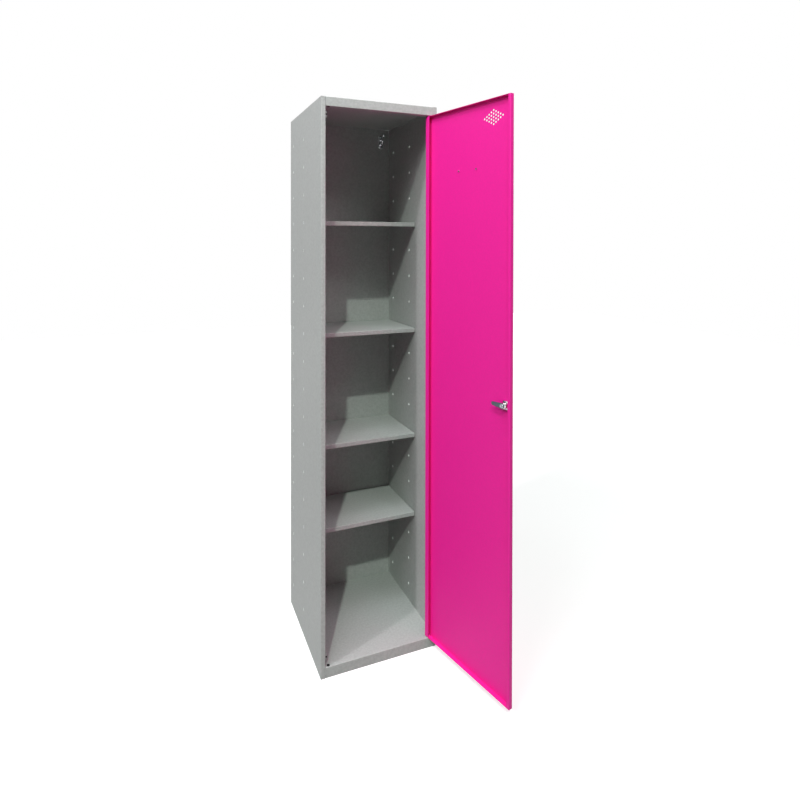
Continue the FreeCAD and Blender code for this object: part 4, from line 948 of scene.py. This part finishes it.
class CUPBOARD_OT_stage(bpy.types.Operator):
    """Add the pale floor, the plain studio light and the camera"""
    bl_idname = "cupboard.stage"
    bl_label = "Stage"

    FLOOR_DROP = 0.0005
    FLOOR_GLOW = 0.42
    FLOOR_BOUNCE = 0.25
    HAZE_FROM = 1.6
    HAZE_TO = 5.0

    def execute(self, context):
        stage = context.scene.cupboard_stage
        scene = context.scene
        self.add_floor(stage)
        self.add_world(scene, stage)
        for name, direction, strength, angle, colour in SUNS:
            lamp = bpy.data.lights.new(name, "SUN")
            lamp.energy, lamp.angle, lamp.color = strength, math.radians(angle), linear(colour)
            self.place(scene, lamp, Vector((0, 0, 3)), Vector(direction))
        for name, place, target, size, power, colour in PANELS:
            lamp = bpy.data.lights.new(name, "AREA")
            lamp.shape, lamp.size, lamp.size_y = "RECTANGLE", size[0], size[1]
            lamp.energy, lamp.color = power, linear(colour)
            self.place(scene, lamp, Vector(place), Vector(target) - Vector(place))
        self.add_camera(scene, stage)
        scene.view_settings.view_transform = "Standard"
        return {"FINISHED"}

    def place(self, scene, lamp, location, direction):
        thing = bpy.data.objects.new(lamp.name, lamp)
        thing.location = location
        thing.rotation_euler = direction.to_track_quat("-Z", "Y").to_euler()
        scene.collection.objects.link(thing)

    def seen_directly(self, tree):
        """1 for rays from the camera, from a mirror and through glass, 0 for light on the object."""
        path = add(tree, "LightPath")
        mirror = add(tree, "Math", {0: path.outputs["Is Camera Ray"],
                                    1: path.outputs["Is Glossy Ray"]}, operation="MAXIMUM")
        return add(tree, "Math", {0: mirror.outputs[0], 1: path.outputs["Is Transmission Ray"]},
                   operation="MAXIMUM").outputs[0]

    def add_floor(self, stage):
        half = stage.floor_size / 2
        mesh = bpy.data.meshes.new("floor")
        corners = [(x * half, y * half, -self.FLOOR_DROP)
                   for x, y in ((-1, -1), (1, -1), (1, 1), (-1, 1))]
        mesh.from_pydata(corners, [], [(0, 1, 2, 3)])
        # Matt white studio floor: it takes the object's shadow, is otherwise as white as the air, and
        # throws little light back into the cupboard.
        material, tree, place = new_material("matt white studio floor")
        cloud = add(tree, "TexNoise", {"Vector": place, "Scale": per_metre(400)})
        shade = add(tree, "MapRange", {"Value": cloud.outputs["Fac"], "To Min": 0.79, "To Max": 0.81})
        paint = add(tree, "BsdfDiffuse", {"Color": shade.outputs[0]})
        distance = add(tree, "VectorMath", {0: place}, operation="LENGTH").outputs["Value"]
        haze = add(tree, "MapRange", {"Value": distance, "From Min": self.HAZE_FROM,
                                      "From Max": self.HAZE_TO, "To Min": self.FLOOR_GLOW, "To Max": 1.0})
        glow = add(tree, "Emission", {"Color": (1, 1, 1, 1), "Strength": haze.outputs[0]})
        both = add(tree, "AddShader", {0: paint.outputs[0], 1: glow.outputs[0]})
        unlit = add(tree, "BsdfDiffuse", {"Color": (self.FLOOR_BOUNCE,) * 3 + (1,)})
        mixed = add(tree, "MixShader", {0: self.seen_directly(tree), 1: unlit.outputs[0],
                                        2: both.outputs[0]})
        mesh.materials.append(finish_material(material, mixed))
        floor = bpy.data.objects.new("floor", mesh)
        bpy.context.scene.collection.objects.link(floor)

    def add_world(self, scene, stage):
        world = bpy.data.worlds.new("studio")
        world.use_nodes = True
        tree = world.node_tree
        tree.nodes.clear()
        ambient = add(tree, "Background", {"Color": (1, 1, 1, 1), "Strength": stage.sky})
        white = add(tree, "Background", {"Color": (1, 1, 1, 1), "Strength": 1.0})
        mixed = add(tree, "MixShader", {0: self.seen_directly(tree), 1: ambient.outputs[0],
                                        2: white.outputs[0]})
        add(tree, "OutputWorld", {"Surface": mixed.outputs[0]})
        scene.world = world

    def add_camera(self, scene, stage):
        data = bpy.data.cameras.new("camera")
        data.sensor_width = 36.0
        data.lens = stage.camera_lens
        data.shift_x, data.shift_y = stage.camera_shift
        camera = bpy.data.objects.new("camera", data)
        turn = (Matrix.Rotation(stage.camera_yaw, 4, "Z") @ Matrix.Rotation(stage.camera_pitch, 4, "X")
                @ Matrix.Rotation(stage.camera_roll, 4, "Y") @ Matrix.Rotation(math.pi / 2, 4, "X"))
        camera.matrix_world = Matrix.Translation(stage.camera_place) @ turn
        scene.collection.objects.link(camera)
        scene.camera = camera


# Suns: name, direction of travel, strength, width in degrees, colour.
SUNS = (
    ("key_from_front_left_above", (0.52, 1.0, -1.175), 1.17, 1.5, "F4FFF4"),
    ("side_light_from_the_left", (0.81, 0.31, -0.7), 0.88, 3.0, "FFF4FA"),
    ("steep_light_from_above", (0.05, 0.25, -1.0), 0.3, 20.0, "F4F8FF"),
    ("fill_from_the_right_rear", (-0.75, -0.6, -0.25), 1.3, 20.0, "FFFFFF"),
)
# Panels: name, place, target, size, power, colour.
PANELS = (
    ("high_left_panel", (-1.2, -0.9, 4.5), (0.0, 0.0, 1.0), (1.5, 1.5), 62.0, "F8F8FF"),
    ("high_overhead_panel", (0.0, -1.5, 6.0), (0.0, 0.0, 1.0), (2.0, 2.0), 9.0, "F8FAFF"),
    ("overhead_right_panel", (0.6, -1.6, 3.0), (0.0, 0.0, 1.0), (0.8, 0.8), 17.0, "FFFFFF"),
    ("front_left_panel", (-1.0, -1.3, 2.9), (0.0, 0.0, 1.0), (0.5, 0.5), 8.0, "FFFFFF"),
    ("left_panel", (-1.9, -1.0, 2.6), (0.0, 0.0, 1.0), (0.8, 0.8), 10.0, "FFF4FA"),
)

OPERATORS = (CUPBOARD_OT_carcass, CUPBOARD_OT_shelf_clips, CUPBOARD_OT_door, CUPBOARD_OT_pivots,
             CUPBOARD_OT_buffers, CUPBOARD_OT_coat_hooks, CUPBOARD_OT_lock, CUPBOARD_OT_card_holder,
             CUPBOARD_OT_stage)


class CUPBOARD_PT_panel(bpy.types.Panel):
    """Lists the cupboard's pieces and their sizes and colours"""
    bl_label = "Broom cupboard"
    bl_idname = "CUPBOARD_PT_panel"
    bl_space_type = "VIEW_3D"
    bl_region_type = "UI"
    bl_category = "Cupboard"

    def draw(self, context):
        for operator in OPERATORS:
            self.layout.operator(operator.bl_idname)
        for group in (context.scene.cupboard_finishes, context.scene.cupboard_fittings,
                      context.scene.cupboard_stage):
            box = self.layout.box()
            for name in group.__annotations__:
                box.prop(group, name)


CLASSES = (CupboardFinishes, CupboardFittings, CupboardStage, *OPERATORS, CUPBOARD_PT_panel)


def register():
    for each in CLASSES:
        bpy.utils.register_class(each)
    bpy.types.Scene.cupboard_finishes = PointerProperty(type=CupboardFinishes)
    bpy.types.Scene.cupboard_fittings = PointerProperty(type=CupboardFittings)
    bpy.types.Scene.cupboard_stage = PointerProperty(type=CupboardStage)


def unregister():
    for name in ("cupboard_finishes", "cupboard_fittings", "cupboard_stage"):
        delattr(bpy.types.Scene, name)
    for each in reversed(CLASSES):
        bpy.utils.unregister_class(each)


def main():
    register()
    bpy.ops.cupboard.carcass()
    bpy.ops.cupboard.shelf_clips()
    bpy.ops.cupboard.door()
    bpy.ops.cupboard.pivots()
    bpy.ops.cupboard.buffers()
    bpy.ops.cupboard.coat_hooks()
    bpy.ops.cupboard.lock()
    bpy.ops.cupboard.card_holder()
    bpy.ops.cupboard.stage()


if __name__ == "__main__":
    main()
